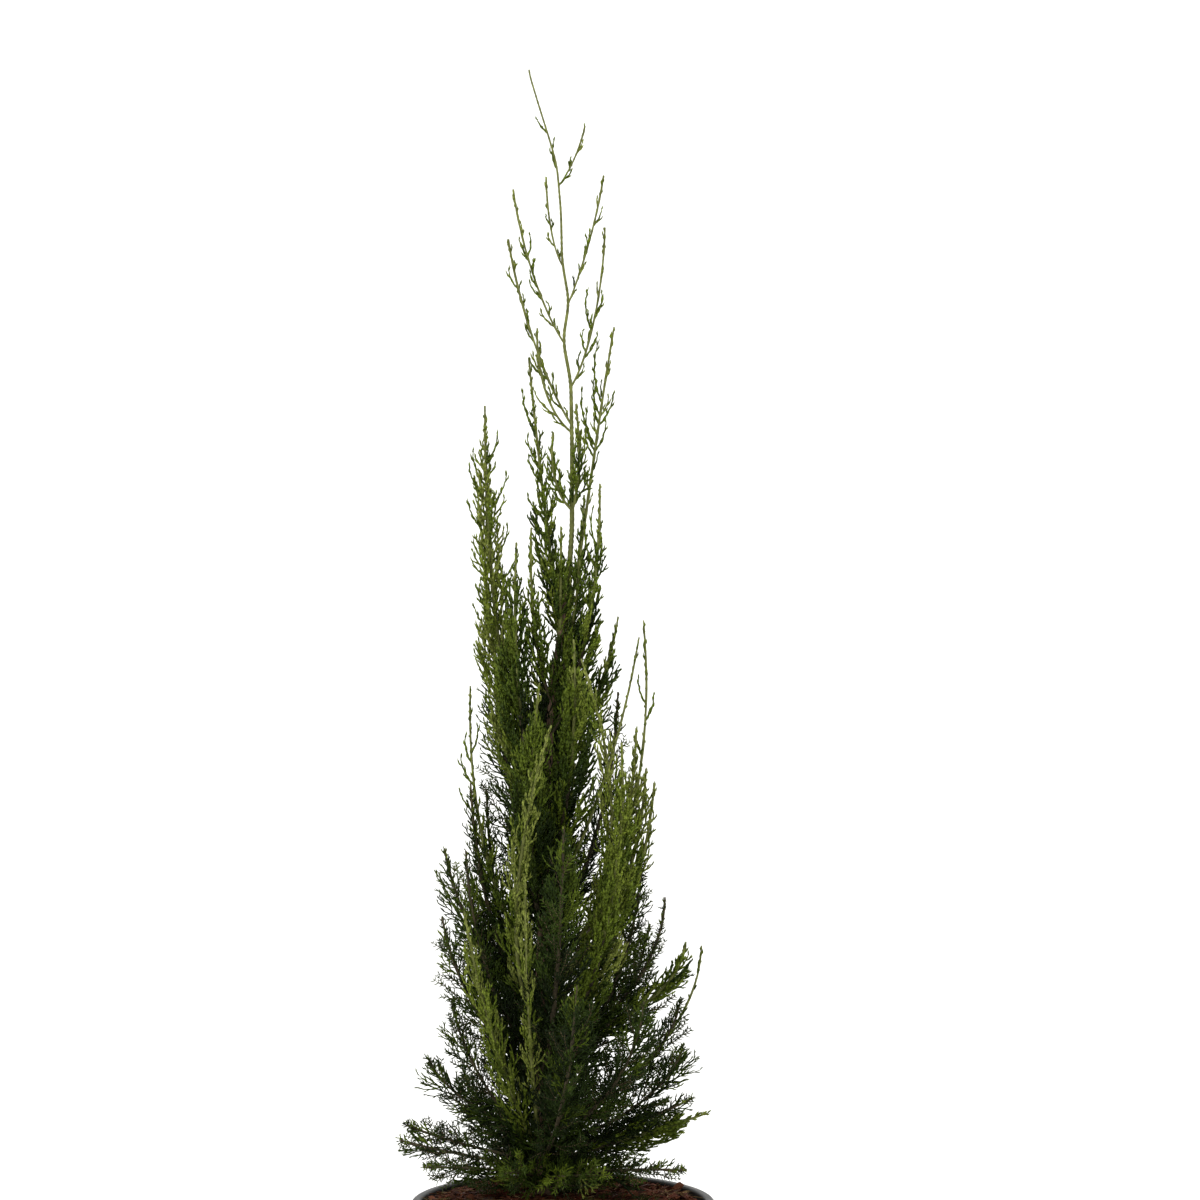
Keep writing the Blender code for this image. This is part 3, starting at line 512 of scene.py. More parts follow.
def joined(parts):
    """Several (points, triangles) as one."""
    points = np.concatenate([p for p, _ in parts])
    starts = np.cumsum([0] + [len(p) for p, _ in parts[:-1]])
    return points, np.concatenate([f + s for (_, f), s in zip(parts, starts)])


def ring_faces(rings, sides):
    """Triangles of the tube wall between successive rings of points."""
    faces = []
    for ring in range(rings - 1):
        for i in range(sides):
            a = ring * sides + i
            b = ring * sides + (i + 1) % sides
            faces += [(a, b, b + sides), (a, b + sides, a + sides)]
    return faces


def capped(rings, sides):
    """The tube wall, closed by fans round two more points: the middles of foot and head."""
    last, foot = (rings - 1) * sides, rings * sides
    faces = ring_faces(rings, sides)
    faces += [((i + 1) % sides, i, foot) for i in range(sides)]
    return faces + [(last + i, last + (i + 1) % sides, foot + 1) for i in range(sides)]


def scaly_template(rings):
    """A three-sided shoot of unit length and radius. Each ring is turned against the one below
    it, so that its corners stand out like pairs of scales."""
    points = []
    for ring in range(rings):
        up = ring / rings
        width = (1 - (1 - SHOOT_TIP) * up) * (1 if ring else SHOOT_FOOT)
        for i in range(3):
            turn = FULL_TURN * i / 3 + math.pi / 3 * ring
            points.append((*circle_point(width, turn), up))
    return pointed(points)


def needle_template():
    """An awl-shaped needle: three-sided, widest a third of the way up."""
    turns = (0, 2.1, 4.2)
    points = [(*circle_point(0.45, a), 0) for a in turns]
    return pointed(points + [(math.cos(a), 0.6 * math.sin(a), 0.35) for a in turns])


def pointed(points):
    """Three-sided rings, closed at the foot and drawn to a point at the tip."""
    faces = ring_faces(len(points) // 3, 3)
    tip = len(points)
    last = tip - 3
    faces += [(last + i, last + (i + 1) % 3, tip) for i in range(3)]
    return np.array(points + [(0, 0, 1)]), np.array(faces + [(2, 1, 0)])


# The most triangles that a piece of foliage is meant to hold.
PIECE_TRIANGLES = 140_000


class Shoots:
    """Many shoots of one colour, kept as rows until they are turned into meshes."""

    def __init__(self):
        self.rows = []
        self.masses = set()

    def add(self, template, root, tip, bow, radius, roll):
        self.rows.append((root[2], template, (*root, *tip, *bow, radius, roll)))

    def pieces(self):
        """The arrays of one piece after another, from the lowest shoots up."""
        rows = sorted(self.rows)
        triangles = sum(len(TEMPLATES[template][1]) for _, template, _ in rows)
        size = math.ceil(len(rows) / max(1, math.ceil(triangles / PIECE_TRIANGLES)))
        for start in range(0, len(rows), max(1, size)):
            yield shoot_arrays(rows[start : start + size])


def shoot_arrays(rows):
    """The points and triangles of the shoots in rows."""
    parts = []
    for template in sorted({row[1] for row in rows}):
        points, faces = TEMPLATES[template]
        made = placed(points, np.array([row[2] for row in rows if row[1] == template]))
        offsets = np.arange(len(made))[:, None, None] * len(points)
        parts.append((made.reshape(-1, 3), (faces[None] + offsets).reshape(-1, 3)))
    return joined(parts)


def placed(points, rows):
    """A template's points at each row's root, tip, bow, radius and roll."""
    root, tip, bow = rows[:, 0:3], rows[:, 3:6], rows[:, 6:9]
    radius, roll = rows[:, 9, None, None], rows[:, 10, None]
    along = tip - root
    unit = along / np.linalg.norm(along, axis=1, keepdims=True)
    helper = np.where(np.abs(unit[:, 2:3]) < 0.9, [[0, 0, 1.0]], [[1.0, 0, 0]])
    side = np.cross(helper, unit)
    side /= np.linalg.norm(side, axis=1, keepdims=True)
    other = np.cross(unit, side)
    turned_side = side * np.cos(roll) + other * np.sin(roll)
    turned_other = np.cross(unit, turned_side)
    x, y, z = points.T[:, None, :, None]
    made = root[:, None] + along[:, None] * z
    made += bow[:, None] * (4 * z * (1 - z))
    made += radius * x * turned_side[:, None]
    made += radius * y * turned_other[:, None]
    return made


RING_COUNTS = (2, 3, 4, 5, 6, 8, 10, 13, 17)
TEMPLATES = {f"scaly_{n:02d}": scaly_template(n) for n in RING_COUNTS}
TEMPLATES["needle"] = needle_template()


def scaly_name(length):
    """The template whose number of scale pairs suits a shoot's length."""
    wanted = length / SCALE_PITCH
    return f"scaly_{min(RING_COUNTS, key=lambda n: abs(n - wanted)):02d}"


# Growing the sprays


Shoot = namedtuple("Shoot", "root tip bow")


def shoot_length(shoot):
    return (shoot.tip - shoot.root).length


def shoot_place(shoot, share):
    """(point, unit tangent) of a bowed shoot at a share of its length."""
    along = shoot.tip - shoot.root
    point = shoot.root + along * share + shoot.bow * (4 * share * (1 - share))
    return point, (along + shoot.bow * (4 - 8 * share)).normalized()


def grow_spray(shoot, kind, shoots, rng):
    """A spray's own axis and its branchlets."""
    roll = rng.uniform(*SHOOT_ROLLS)
    shoots.add(scaly_name(shoot_length(shoot)), *shoot, kind.radius, roll)
    grow_branchlets(shoot, kind, shoots, rng)


def grow_branchlets(shoot, kind, shoots, rng):
    """Scaly branchlets on both sides of a spray's axis, and twiglets on the longer ones."""
    length = shoot_length(shoot)
    count = max(2, round(length / kind.gap))
    along = (shoot.tip - shoot.root).normalized()
    plane = side_of(along, rng.uniform(0, FULL_TURN))
    for i in range(count):
        share = (i + rng.uniform(*BRANCHLET_PLACE)) / count * BRANCHLETS_SPAN
        root, tangent = shoot_place(shoot, share)
        reach = min((1 - share) * length * kind.branch + BRANCHLET_LEAST, kind.most)
        reach *= rng.uniform(*LENGTH_LUCK)
        side = plane.copy() if i % 2 else -plane
        side.rotate(Matrix.Rotation(rng.normal(0, BRANCHLET_TURN), 3, along))
        heading = leaning(tangent, side, kind.spray_deg + rng.normal(0, 3)) + UP * TWIG_LIFT
        heading.normalize()
        twig = Shoot(root, root + heading * reach, side * (TWIG_BOW * reach))
        radius = kind.radius * BRANCHLET_THIN
        shoots.add(scaly_name(reach), *twig, radius, rng.uniform(*SHOOT_ROLLS))
        grow_twiglets(twig, heading, kind, shoots, rng)


def grow_twiglets(twig, heading, kind, shoots, rng):
    """Short side shoots on either side of a branchlet."""
    length = shoot_length(twig)
    side = side_of(heading, rng.uniform(0, FULL_TURN))
    for i in range(int(length / kind.twiglets)):
        side = -side
        share = (i + 0.6) * kind.twiglets / length
        root, tangent = shoot_place(twig, share)
        reach = min((1 - share) * length * TWIGLET_SHARE + TWIGLET_LEAST, TWIGLET_MOST)
        spin = side.copy()
        spin.rotate(Matrix.Rotation(rng.normal(0, TWIGLET_TURN), 3, heading))
        tip = root + (tangent * TWIGLET_ALONG + spin * TWIGLET_ASIDE) * reach
        bow = spin * (TWIGLET_BOW * reach)
        shoots.add(scaly_name(reach), root, tip, bow, kind.radius * TWIGLET_THIN, i)


def grow_needles(shoot, shoots, rng):
    """Awl-shaped young needles in spreading threes round a spray's axis and its branchlets."""
    length = shoot_length(shoot)
    count = max(3, round(length / NEEDLE_GAP))
    for i in range(count):
        share = (i + 0.5) / count
        root, tangent = shoot_place(shoot, share)
        side = side_of(tangent, i * 1.05 + rng.uniform(-0.3, 0.3))
        reach = NEEDLE_LENGTH * rng.uniform(*LENGTH_LUCK) * (1 - 0.45 * share)
        degrees = NEEDLE_DEG + rng.normal(0, 7)
        for _ in range(3):
            side.rotate(Matrix.Rotation(FULL_TURN / 3, 3, tangent))
            tip = root + leaning(tangent, side, degrees) * reach
            bow = side * (NEEDLE_BOW * reach)
            shoots.add("needle", root, tip, bow, NEEDLE_RADIUS, rng.uniform(*SHOOT_ROLLS))


def grow_needle_spray(shoot, kind, shoots, wood, rng):
    """A young spray: a thin twig with needles, and side twigs with needles of their own."""
    length = shoot_length(shoot)
    wood.add(scaly_name(length), *shoot, NEEDLE_SPRAY_RADIUS, 0)
    grow_needles(shoot, shoots, rng)
    count = int(length / (3 * kind.gap))
    for i in range(count):
        share = (i + 0.4) / count
        root, tangent = shoot_place(shoot, share)
        side = side_of(tangent, i * GOLDEN_ANGLE)
        reach = (1 - share) * length * NEEDLE_TWIG_SHARE + NEEDLE_TWIG_LEAST
        reach = min(reach, NEEDLE_TWIG_MOST)
        tip = root + leaning(tangent, side, kind.spray_deg + rng.normal(0, 6)) * reach
        twig = Shoot(root, tip, side * (TWIGLET_BOW * reach))
        wood.add(scaly_name(reach), *twig, NEEDLE_TWIG_RADIUS, 0)
        grow_needles(twig, shoots, rng)


def sprays_of(bough, line, rng):
    """The shoots that spring from a bough's leafy part, in the solids' spiral but closer."""
    kind = bough.kind
    habit = HABITS.get(bough.name, Habit())
    taper = habit.taper or kind.taper
    leafy = line_length(line) * (1 - bough.bare)
    count = max(4, round(leafy / kind.step * kind.finer * habit.fullness))
    for k in range(count):
        share = (k + 0.5) / count
        place = bough.bare + (1 - bough.bare) * (SPRAYS_FROM + SPRAYS_SPAN * share)
        root, tangent = point_along(line, place)
        turn = k * GOLDEN_ANGLE + rng.uniform(-SPIRAL_SPREAD, SPIRAL_SPREAD)
        degrees = kind.inner_deg + (kind.tip_deg - kind.inner_deg) * share
        luck = rng.uniform(1 - 2 * LENGTH_SPREAD, 1 + LENGTH_SPREAD)
        width = bough.spread * kind.slim * habit.width * plume(share, taper) * luck
        below_lead = max(leafy * (1 - share) - kind.lead, SPRAY_LEAST)
        spray = side_spray(root, tangent, turn, degrees, width, below_lead)
        yield kept_within(line, spray, width + WIDTH_SLACK), share


def side_spray(root, tangent, turn, degrees, width, most):
    """A spray that leaves a stem at an angle, turned up a little, and reaches out to a width."""
    side = side_of(tangent, turn)
    heading = leaning(tangent, side, degrees) + UP * LIFT
    heading.normalize()
    length = min(width / heading.cross(tangent).length, most)
    if (root + heading * length).z < MULCH_TOP + MULCH_CLEAR:
        heading.z = abs(heading.z)
    return Shoot(root, root + heading * length, side * (SPRAY_BOW * length))


def kept_within(line, shoot, width):
    """A shoot, cut down until its tip is no further than a width from its stem."""
    while shoot_length(shoot) > SPRAY_LEAST:
        if min((shoot.tip - p).length for p in line) <= width:
            break
        shoot = Shoot(shoot.root, shoot.root.lerp(shoot.tip, SPRAY_CUT), shoot.bow * SPRAY_CUT)
    return shoot


def green_of(bough, share, tip, rng):
    """The step of the greens that a spray takes: brighter when new; brighter outside and in front as
    painted light, darker inside as painted shade.
    """
    crown_width = CROWN_TIP_WIDTH + CROWN_FLARE * (TREE_TOP - tip.z)
    outside = min(1.0, math.hypot(tip.x, tip.y) / crown_width)
    step = KIND_GREEN[bough.kind] + HABITS.get(bough.name, Habit()).brighter
    # Painted light outside the crown and painted shade inside it; new tips are brighter in their own
    # colour.
    step += OUTSIDE_LIGHT_INSIDE_SHADE * (outside - 0.5) + TIP_GREEN * (share - 0.4)
    return int(np.clip(round(step + rng.normal(0, GREEN_SPREAD)), 0, len(GREENS) - 1))


def dress_mass(bough, crown, needles, wood):
    """All the sprays of one mass."""
    rng = np.random.default_rng(sum(map(ord, bough.name)))
    line = bough_line(bough)
    for shoot, share in sprays_of(bough, line, rng):
        step = green_of(bough, share, shoot.tip, rng)
        low = min(1.0, max(0.0, (FEW_NEEDLES_ABOVE - shoot.tip.z) / NEEDLES_DEPTH))
        if rng.random() < bough.kind.needles * (0.4 + 1.6 * low):
            kept = needles[max(0, step - 1)]
            grow_needle_spray(shoot, bough.kind, kept, wood, rng)
        else:
            kept = crown[step]
            grow_spray(shoot, bough.kind, kept, rng)
        if bough not in FILL_BOUGHS:
            kept.masses.add("foliage_" + bough.name)
    root, _ = point_along(line, TERMINAL_FROM)
    tip_step = green_of(bough, 1, line[-1], rng)
    grow_spray(Shoot(root, line[-1], Vector()), TWIG, crown[tip_step], rng)


def grow_trunk_sprays(crown):
    """Short sprays straight out of the trunk, which fill the crown's middle, in the darkest greens as
    painted shade.
    """
    rng = np.random.default_rng(8)
    count = round((FILLED_TO - FILLED_FROM) / FILL_STEP)
    for k in range(count):
        share = k / count
        height = FILLED_FROM + (FILLED_TO - FILLED_FROM) * share
        degrees = FILL_DEG + rng.normal(0, 8)
        width = FILL_WIDTH * (1 - FILL_TAPER * share) * rng.uniform(0.6, 1.1)
        shoot = side_spray(trunk_at(height), UP, k * GOLDEN_ANGLE, degrees, width, 1)
        grow_spray(shoot, DENSE, crown[int(rng.integers(0, FILL_SHADE_GREENS))], rng)


def grow_sky_twigs(crown):
    """The twigs that are placed one by one, each at the depth of its line."""
    rng = np.random.default_rng(5)
    lines = {b.name: bough_line(b) for b in ALL_BOUGHS}
    heights = np.linspace(GROUND, TREE_TOP, LINE_POINTS).tolist()
    lines["trunk"] = [trunk_at(h) for h in heights]
    for name, twigs in SKY_TWIGS.items():
        for leaves_at, tip_x, tip_z in map(metres, twigs):
            root, _ = point_along(lines[name], share_at_height(lines[name], leaves_at))
            depth = rng.uniform(-SKY_TWIG_DEPTH, SKY_TWIG_DEPTH)
            tip = Vector((tip_x, root.y + depth, tip_z))
            out = Vector((tip.x - root.x, 0, 0)).normalized()
            shoot = Shoot(root, tip, out * SKY_TWIG_BOW * (tip - root).length)
            grow_spray(shoot, TWIG, crown[SKY_GREEN], rng)


def make_foliage():
    """Every mass's sprays, by colour, and the thin wood of the needled ones."""
    crown = [Shoots() for _ in GREENS]
    needles = [Shoots() for _ in GREENS]
    wood = Shoots()
    for bough in ALL_BOUGHS:
        dress_mass(bough, crown, needles, wood)
    grow_trunk_sprays(crown)
    grow_sky_twigs(crown)
    for word, kinds in (("scales", crown), ("needles", needles)):
        for step, shoots in enumerate(kinds):
            for number, arrays in enumerate(shoots.pieces()):
                name = f"{word}_{step}_{number}"
                piece = add_piece(name, arrays, f"green_{step}", GREEN_SLOTS[step])
                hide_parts(*sorted(shoots.masses))
    for number, arrays in enumerate(wood.pieces()):
        add_piece(f"twigs_{number}", arrays, "twig", "bark")


# Wood


def tube(points, radii, sides, relief):
    """Points and triangles of a closed round tube whose skin is pushed out by a relief of
    (place along in metres, angle, radius)."""
    rings, along = [], 0.0
    side = (points[1] - points[0]).orthogonal().normalized()
    for i, (point, radius) in enumerate(zip(points, radii)):
        ahead = points[min(i + 1, len(points) - 1)] - points[max(i - 1, 0)]
        unit = ahead.normalized()
        side = (side - unit * side.dot(unit)).normalized()
        other = unit.cross(side)
        along += (point - points[i - 1]).length if i else 0
        for k in range(sides):
            turn = FULL_TURN * k / sides
            reach = radius + relief(along, turn, radius)
            rings.append(point + (side * math.cos(turn) + other * math.sin(turn)) * reach)
    faces = capped(len(points), sides)
    return np.array([tuple(p) for p in rings + [points[0], points[-1]]]), np.array(faces)


def bark_relief(along, turn, radius):
    """Stringy lengthwise ridges of thin bark, with a few wider swellings."""
    x, y = math.cos(turn), math.sin(turn)
    fine = noise.noise(Vector((x * 3.1, y * 3.1, along * 60)))
    coarse = noise.noise(Vector((x * 1.1, y * 1.1, along * 22 + 7)))
    return radius * (0.13 * fine + 0.08 * coarse)


def scale_relief(along, turn, radius):
    """Close-pressed scale leaves on a green stem."""
    return 0.14 * radius * math.sin(along * FULL_TURN / 0.0028 + 2 * turn)


WOODY_BELOW = 0.50
BROWN_BELOW = 0.45
TRUNK_SUNK = 0.006
TRUNK_RINGS = 420
STEM_RINGS = 24
WISP_THINNER = 0.28
WISP_THIN_FROM = 0.3
TIP_FROM = 0.9
TIP_THIN = 0.9


def make_wood():
    """The trunk, brown below and green above, and each bough's limb and stem."""
    heights = np.linspace(GROUND - TRUNK_SUNK, TREE_TOP, TRUNK_RINGS).tolist()
    woody = [h for h in heights if h <= WOODY_BELOW]
    green = [h for h in heights if h >= woody[-1]]
    radii = [trunk_radius(max(h, GROUND)) for h in woody]
    trunk = tube([trunk_at(h) for h in woody], radii, 20, bark_relief)
    leader = tube([trunk_at(h) for h in green], [trunk_radius(h) for h in green], 10, scale_relief)
    piece = add_piece("trunk_bark", trunk, "bark", "bark", smooth=True)
    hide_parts("trunk")
    limbs, stems = [], [leader]
    for bough in ALL_BOUGHS:
        line = bough_line(bough)
        brown = bough.leaves_at < BROWN_BELOW and bough.kind != WISP
        for share_from, share_to, kept, relief in (
            (0, 0.5, limbs if brown else stems, bark_relief),
            (0.5, 1, limbs if bough.kind == DENSE else stems, scale_relief),
        ):
            shares = np.linspace(share_from, share_to, STEM_RINGS).tolist()
            points = [point_along(line, s)[0] for s in shares]
            radii = [radius_along(bough, s) * thinness(bough, s) for s in shares]
            kept.append(tube(points, radii, 8, relief))
    piece = add_piece("limbs_bark", joined(limbs), "limb", "bark", smooth=True)
    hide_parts(*["bough_" + b.name for b in MAIN_BOUGHS if b.bare])
    add_piece("stems_green", joined(stems), "stem", "foliage_light", smooth=True)


def thinness(bough, share):
    """How much thinner than its solid a stem is drawn: long bare wisps most of all."""
    if bough.kind == WISP:
        return 1 - WISP_THINNER * min(1, share / WISP_THIN_FROM)
    return TIP_THIN if share > TIP_FROM else 1


# The pot


def wall_radius(height):
    share = height / POT_HEIGHT
    top = POT_RIM_RADIUS - LIP_OVERHANG
    return POT_BASE_RADIUS + (top - POT_BASE_RADIUS) * share


def arc(centre, radius, start_deg, end_deg, count):
    """Points of an arc in the profile's plane, as (radius, height)."""
    angles = [math.radians(a) for a in np.linspace(start_deg, end_deg, count)]
    return [(centre[0] + radius * math.cos(a), centre[1] + radius * math.sin(a)) for a in angles]


def make_pot():
    """The blow-moulded pot: rolled lip, stepped collar, tapered wall, flat foot with holes."""
    inner_top = wall_radius(POT_HEIGHT) - POT_WALL
    lip_bottom = POT_HEIGHT - LIP_HEIGHT
    outer = POT_RIM_RADIUS - LIP_ROUND
    collar = POT_HEIGHT - COLLAR_HEIGHT
    foot = wall_radius(0) - COLLAR_STEP - FOOT_CHAMFER
    heights = np.linspace(collar - 0.004, FOOT_CHAMFER * 2, 24)
    profile = (
        (0, POT_FLOOR),
        (wall_radius(POT_FLOOR) - POT_WALL, POT_FLOOR),
        (inner_top, POT_HEIGHT - 2 * LIP_ROUND),
        *arc((inner_top + LIP_ROUND, POT_HEIGHT - LIP_ROUND), LIP_ROUND, 180, 90, 7),
        *arc((outer, POT_HEIGHT - LIP_ROUND), LIP_ROUND, 90, 0, 8),
        *arc((outer, lip_bottom + LIP_ROUND / 2), LIP_ROUND / 2, -10, -90, 5),
        (wall_radius(lip_bottom) + 0.0004, lip_bottom),
        (wall_radius(lip_bottom), lip_bottom - 0.0006),
        (wall_radius(collar + 0.0016), collar + 0.0016),
        (wall_radius(collar) - COLLAR_STEP, collar),
        *((wall_radius(height) - COLLAR_STEP, height) for height in heights),
        *arc((foot, FOOT_CHAMFER), FOOT_CHAMFER, 0, -90, 7),
        (0, 0),
    )
    pot = turned("pot_shell", profile)
    for i in range(DRAIN_HOLES):
        cut_drain_hole(pot, FULL_TURN * i / DRAIN_HOLES)
    pot.data.shade_smooth()
    pot.data.set_sharp_from_angle(angle=math.radians(40))
    dress(pot, "pot", "pot_plastic")
    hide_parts("pot")


def turned(name, profile):
    """A profile of (radius, height), turned once round the pot's axis."""
    mesh = bpy.data.meshes.new(name)
    edges = [(i, i + 1) for i in range(len(profile) - 1)]
    mesh.from_pydata([(r, 0, z) for r, z in profile], edges, [])
    obj = linked(name, mesh)
    screw = obj.modifiers.new("turn", "SCREW")
    screw.steps = screw.render_steps = POT_SEGMENTS
    screw.use_merge_vertices = True
    screw.merge_threshold = 0.00001
    apply_modifiers(obj)
    return obj


def apply_modifiers(obj):
    graph = bpy.context.evaluated_depsgraph_get()
    made = bpy.data.meshes.new_from_object(obj.evaluated_get(graph))
    obj.modifiers.clear()
    obj.data = made


def cut_drain_hole(pot, turn):
    place = (*circle_point(DRAIN_CIRCLE, turn), 0)
    add_cylinder = bpy.ops.mesh.primitive_cylinder_add
    add_cylinder(vertices=32, radius=DRAIN_RADIUS, depth=POT_FLOOR * 6, location=place)
    cutter = bpy.context.object
    cut = pot.modifiers.new("drain", "BOOLEAN")
    cut.operation = "DIFFERENCE"
    cut.object = cutter
    apply_modifiers(pot)
    bpy.data.objects.remove(cutter)


# The mulch


BED_CLEAR = 0.0003
BED_RINGS = 60
BED_SIDES = 160
CHIPS = 1500
CHIP_LENGTHS = (0.002, 0.008)
CHIP_HEIGHTS = (0.0003, 0.0009)
SHREDS = 1500
SHRED_LENGTHS = (0.004, 0.012)
DRY_NEEDLES = 900
DRY_LENGTHS = (0.005, 0.014)
MOSS_TUFTS = 420
MOSS_SHOOTS = 26
MOSS_SPREAD = 0.0022
MOSS_LENGTHS = (0.0015, 0.0035)


def mulch_height(x, y):
    """The top of the mulch at a place inside the pot."""
    rim = wall_radius(POT_HEIGHT - MULCH_EDGE_DROP) - POT_WALL
    share = min(1.0, math.hypot(x, y) / rim)
    rough = noise.noise(Vector((x * 70, y * 70, 3))) * 0.0016
    rough += noise.noise(Vector((x * 190, y * 190, 9))) * 0.0008
    return POT_HEIGHT - MULCH_EDGE_DROP + MULCH_DOME * (1 - share**2) + rough


def make_mulch():
    """The soil plug with its rough top, and bark chips, shreds, moss and dry needles on it."""
    rim = wall_radius(POT_HEIGHT - MULCH_EDGE_DROP) - POT_WALL - BED_CLEAR
    low = POT_FLOOR + BED_CLEAR
    turns = [FULL_TURN * k / BED_SIDES for k in range(BED_SIDES)]
    points = []
    for ring in range(BED_RINGS):
        for turn in turns:
            x, y = circle_point(rim * (ring + 1) / BED_RINGS, turn)
            points.append((x, y, mulch_height(x, y)))
    foot_radius = wall_radius(low) - POT_WALL - BED_CLEAR
    points += [(*circle_point(foot_radius, turn), low) for turn in turns]
    points += [(0, 0, mulch_height(0, 0)), (0, 0, low)]
    bed = np.array(points), np.array(capped(BED_RINGS + 1, BED_SIDES))[:, ::-1]
    piece = add_piece("mulch_bed", bed, "mulch_bed", "bark_mulch", smooth=True)
    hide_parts("mulch")
    rng = np.random.default_rng(23)
    for tint in range(3):
        chips = joined([bark_chip(rng, rim) for _ in range(CHIPS // 3)])
        add_piece(f"bark_chips_{tint}", chips, f"chip_{tint}", "bark_mulch")
    scatter_litter(rng, rim)


def place_on_mulch(rng, rim):
    radius = rim * math.sqrt(rng.uniform(0, 0.97))
    x, y = circle_point(radius, rng.uniform(0, FULL_TURN))
    return Vector((x, y, mulch_height(x, y)))


CUBE_CORNERS = np.array([(x, y, z) for z in (-1, 1) for y in (-1, 1) for x in (-1, 1)], float)
CUBE_FACES = np.array(
    [
        (0, 2, 3), (0, 3, 1), (4, 5, 7), (4, 7, 6), (0, 1, 5), (0, 5, 4),
        (2, 6, 7), (2, 7, 3), (0, 4, 6), (0, 6, 2), (1, 3, 7), (1, 7, 5),
    ]
)


def bark_chip(rng, rim):
    """One ragged, flattened chip of bark, lying on the mulch."""
    place = place_on_mulch(rng, rim - 0.004)
    length = rng.uniform(*CHIP_LENGTHS)
    half = np.array((length, length * rng.uniform(0.18, 0.5), rng.uniform(*CHIP_HEIGHTS)))
    corners = CUBE_CORNERS * half * rng.uniform(0.55, 1.1, (8, 3))
    tilt = Matrix.Rotation(rng.normal(0, 0.28), 3, "X") @ Matrix.Rotation(rng.normal(0, 0.22), 3, "Y")
    turn = np.array(Matrix.Rotation(rng.uniform(0, FULL_TURN), 3, "Z") @ tilt)
    return corners @ turn.T + np.array(place) + (0, 0, half[2] * 0.6), CUBE_FACES


def lying(rng, rim, lengths):
    """(place, turn, length) of something that lies on the mulch."""
    return place_on_mulch(rng, rim), rng.uniform(0, FULL_TURN), rng.uniform(*lengths)


def scatter_litter(rng, rim):
    """Shreds of bark, tufts of moss and fallen needles."""
    shreds, moss, dry = Shoots(), Shoots(), Shoots()
    for _ in range(SHREDS):
        place, turn, reach = lying(rng, rim - 0.005, SHRED_LENGTHS)
        flat = Vector((*circle_point(1, turn), rng.normal(0.05, 0.12)))
        shreds.add("scaly_03", place, place + flat * reach, UP * 0.0006, 0.0004, turn)
    for _ in range(DRY_NEEDLES):
        place, turn, reach = lying(rng, rim - 0.004, DRY_LENGTHS)
        flat = Vector((*circle_point(1, turn), rng.uniform(0, 0.25)))
        dry.add("scaly_02", place + UP * 0.001, place + flat * reach, Vector(), 0.0003, turn)
    for _ in range(MOSS_TUFTS):
        place = place_on_mulch(rng, rim - 0.012)
        if noise.noise(Vector((place.x * 30, place.y * 30, 40))) < -0.02:
            continue
        for _ in range(MOSS_SHOOTS):
            off = Vector((rng.normal(0, MOSS_SPREAD), rng.normal(0, MOSS_SPREAD), 0))
            lean = Vector((rng.normal(0, 0.5), rng.normal(0, 0.5), 1)).normalized()
            root = place + off
            tip = root + lean * rng.uniform(*MOSS_LENGTHS)
            moss.add("scaly_02", root, tip, Vector(), 0.00032, 0)
    add_piece("bark_shreds", shoot_arrays(shreds.rows), "shred", "bark_mulch")
    add_piece("dry_needles", shoot_arrays(dry.rows), "dry", "bark_mulch")
    add_piece("moss", shoot_arrays(moss.rows), "moss", "foliage_mid")


# Materials


# A noise's scale, detail and stretch, and a bump's strength, depth and noise.
Grain = namedtuple("Grain", "scale detail stretch", defaults=((1, 1, 1),))
Relief = namedtuple("Relief", "strength depth grain")


def new_material(name, colour, stops, grain, roughness, specular=0.5, relief=None):
    """A material whose colour runs over stops of (place, colour) by a noise of a grain."""
    made = bpy.data.materials.new(name)
    made.use_nodes = True
    nodes, links = made.node_tree.nodes, made.node_tree.links
    shader = nodes["Principled BSDF"]
    shader.inputs["Base Color"].default_value = (*colour, 1)
    shader.inputs["Roughness"].default_value = roughness
    shader.inputs["Specular IOR Level"].default_value = specular
    ramp = nodes.new("ShaderNodeValToRGB")
    elements = ramp.color_ramp.elements
    while len(elements) < len(stops):
        elements.new(0.5)
    for element, (position, tint) in zip(elements, stops):
        element.position = position
        element.color = (*tint, 1)
    links.new(noise_output(nodes, links, grain), ramp.inputs["Fac"])
    links.new(ramp.outputs["Color"], shader.inputs["Base Color"])
    if relief:
        bump = nodes.new("ShaderNodeBump")
        bump.inputs["Strength"].default_value = relief.strength
        bump.inputs["Distance"].default_value = relief.depth
        links.new(noise_output(nodes, links, relief.grain), bump.inputs["Height"])
        links.new(bump.outputs["Normal"], shader.inputs["Normal"])
    return made


def noise_output(nodes, links, grain):
    """The value of a noise texture in object space."""
    coords = nodes.new("ShaderNodeTexCoord")
    mapping = nodes.new("ShaderNodeMapping")
    mapping.inputs["Scale"].default_value = grain.stretch
    texture = nodes.new("ShaderNodeTexNoise")
    texture.inputs["Scale"].default_value = grain.scale
    texture.inputs["Detail"].default_value = grain.detail
    links.new(coords.outputs["Object"], mapping.inputs["Vector"])
    links.new(mapping.outputs["Vector"], texture.inputs["Vector"])
    return texture.outputs["Fac"]


def scaled(colour, factor):
    return tuple(min(1.0, c * factor) for c in colour)


def leaf_material(name, colour):
    """A waxy green leaf, mottled along the shoots."""
    stops = ((0.30, scaled(colour, 0.62)), (0.52, colour), (0.75, scaled(colour, 1.45)))
    return new_material(name, colour, stops, Grain(240, 3), roughness=0.62, specular=0.2)


def bark_material(name, dark, light):
    grain = Grain(900, 6, (1, 1, 0.12))
    stops = ((0.32, dark), (0.68, light))
    return new_material(name, dark, stops, grain, 0.82, relief=Relief(0.5, 0.0004, grain))


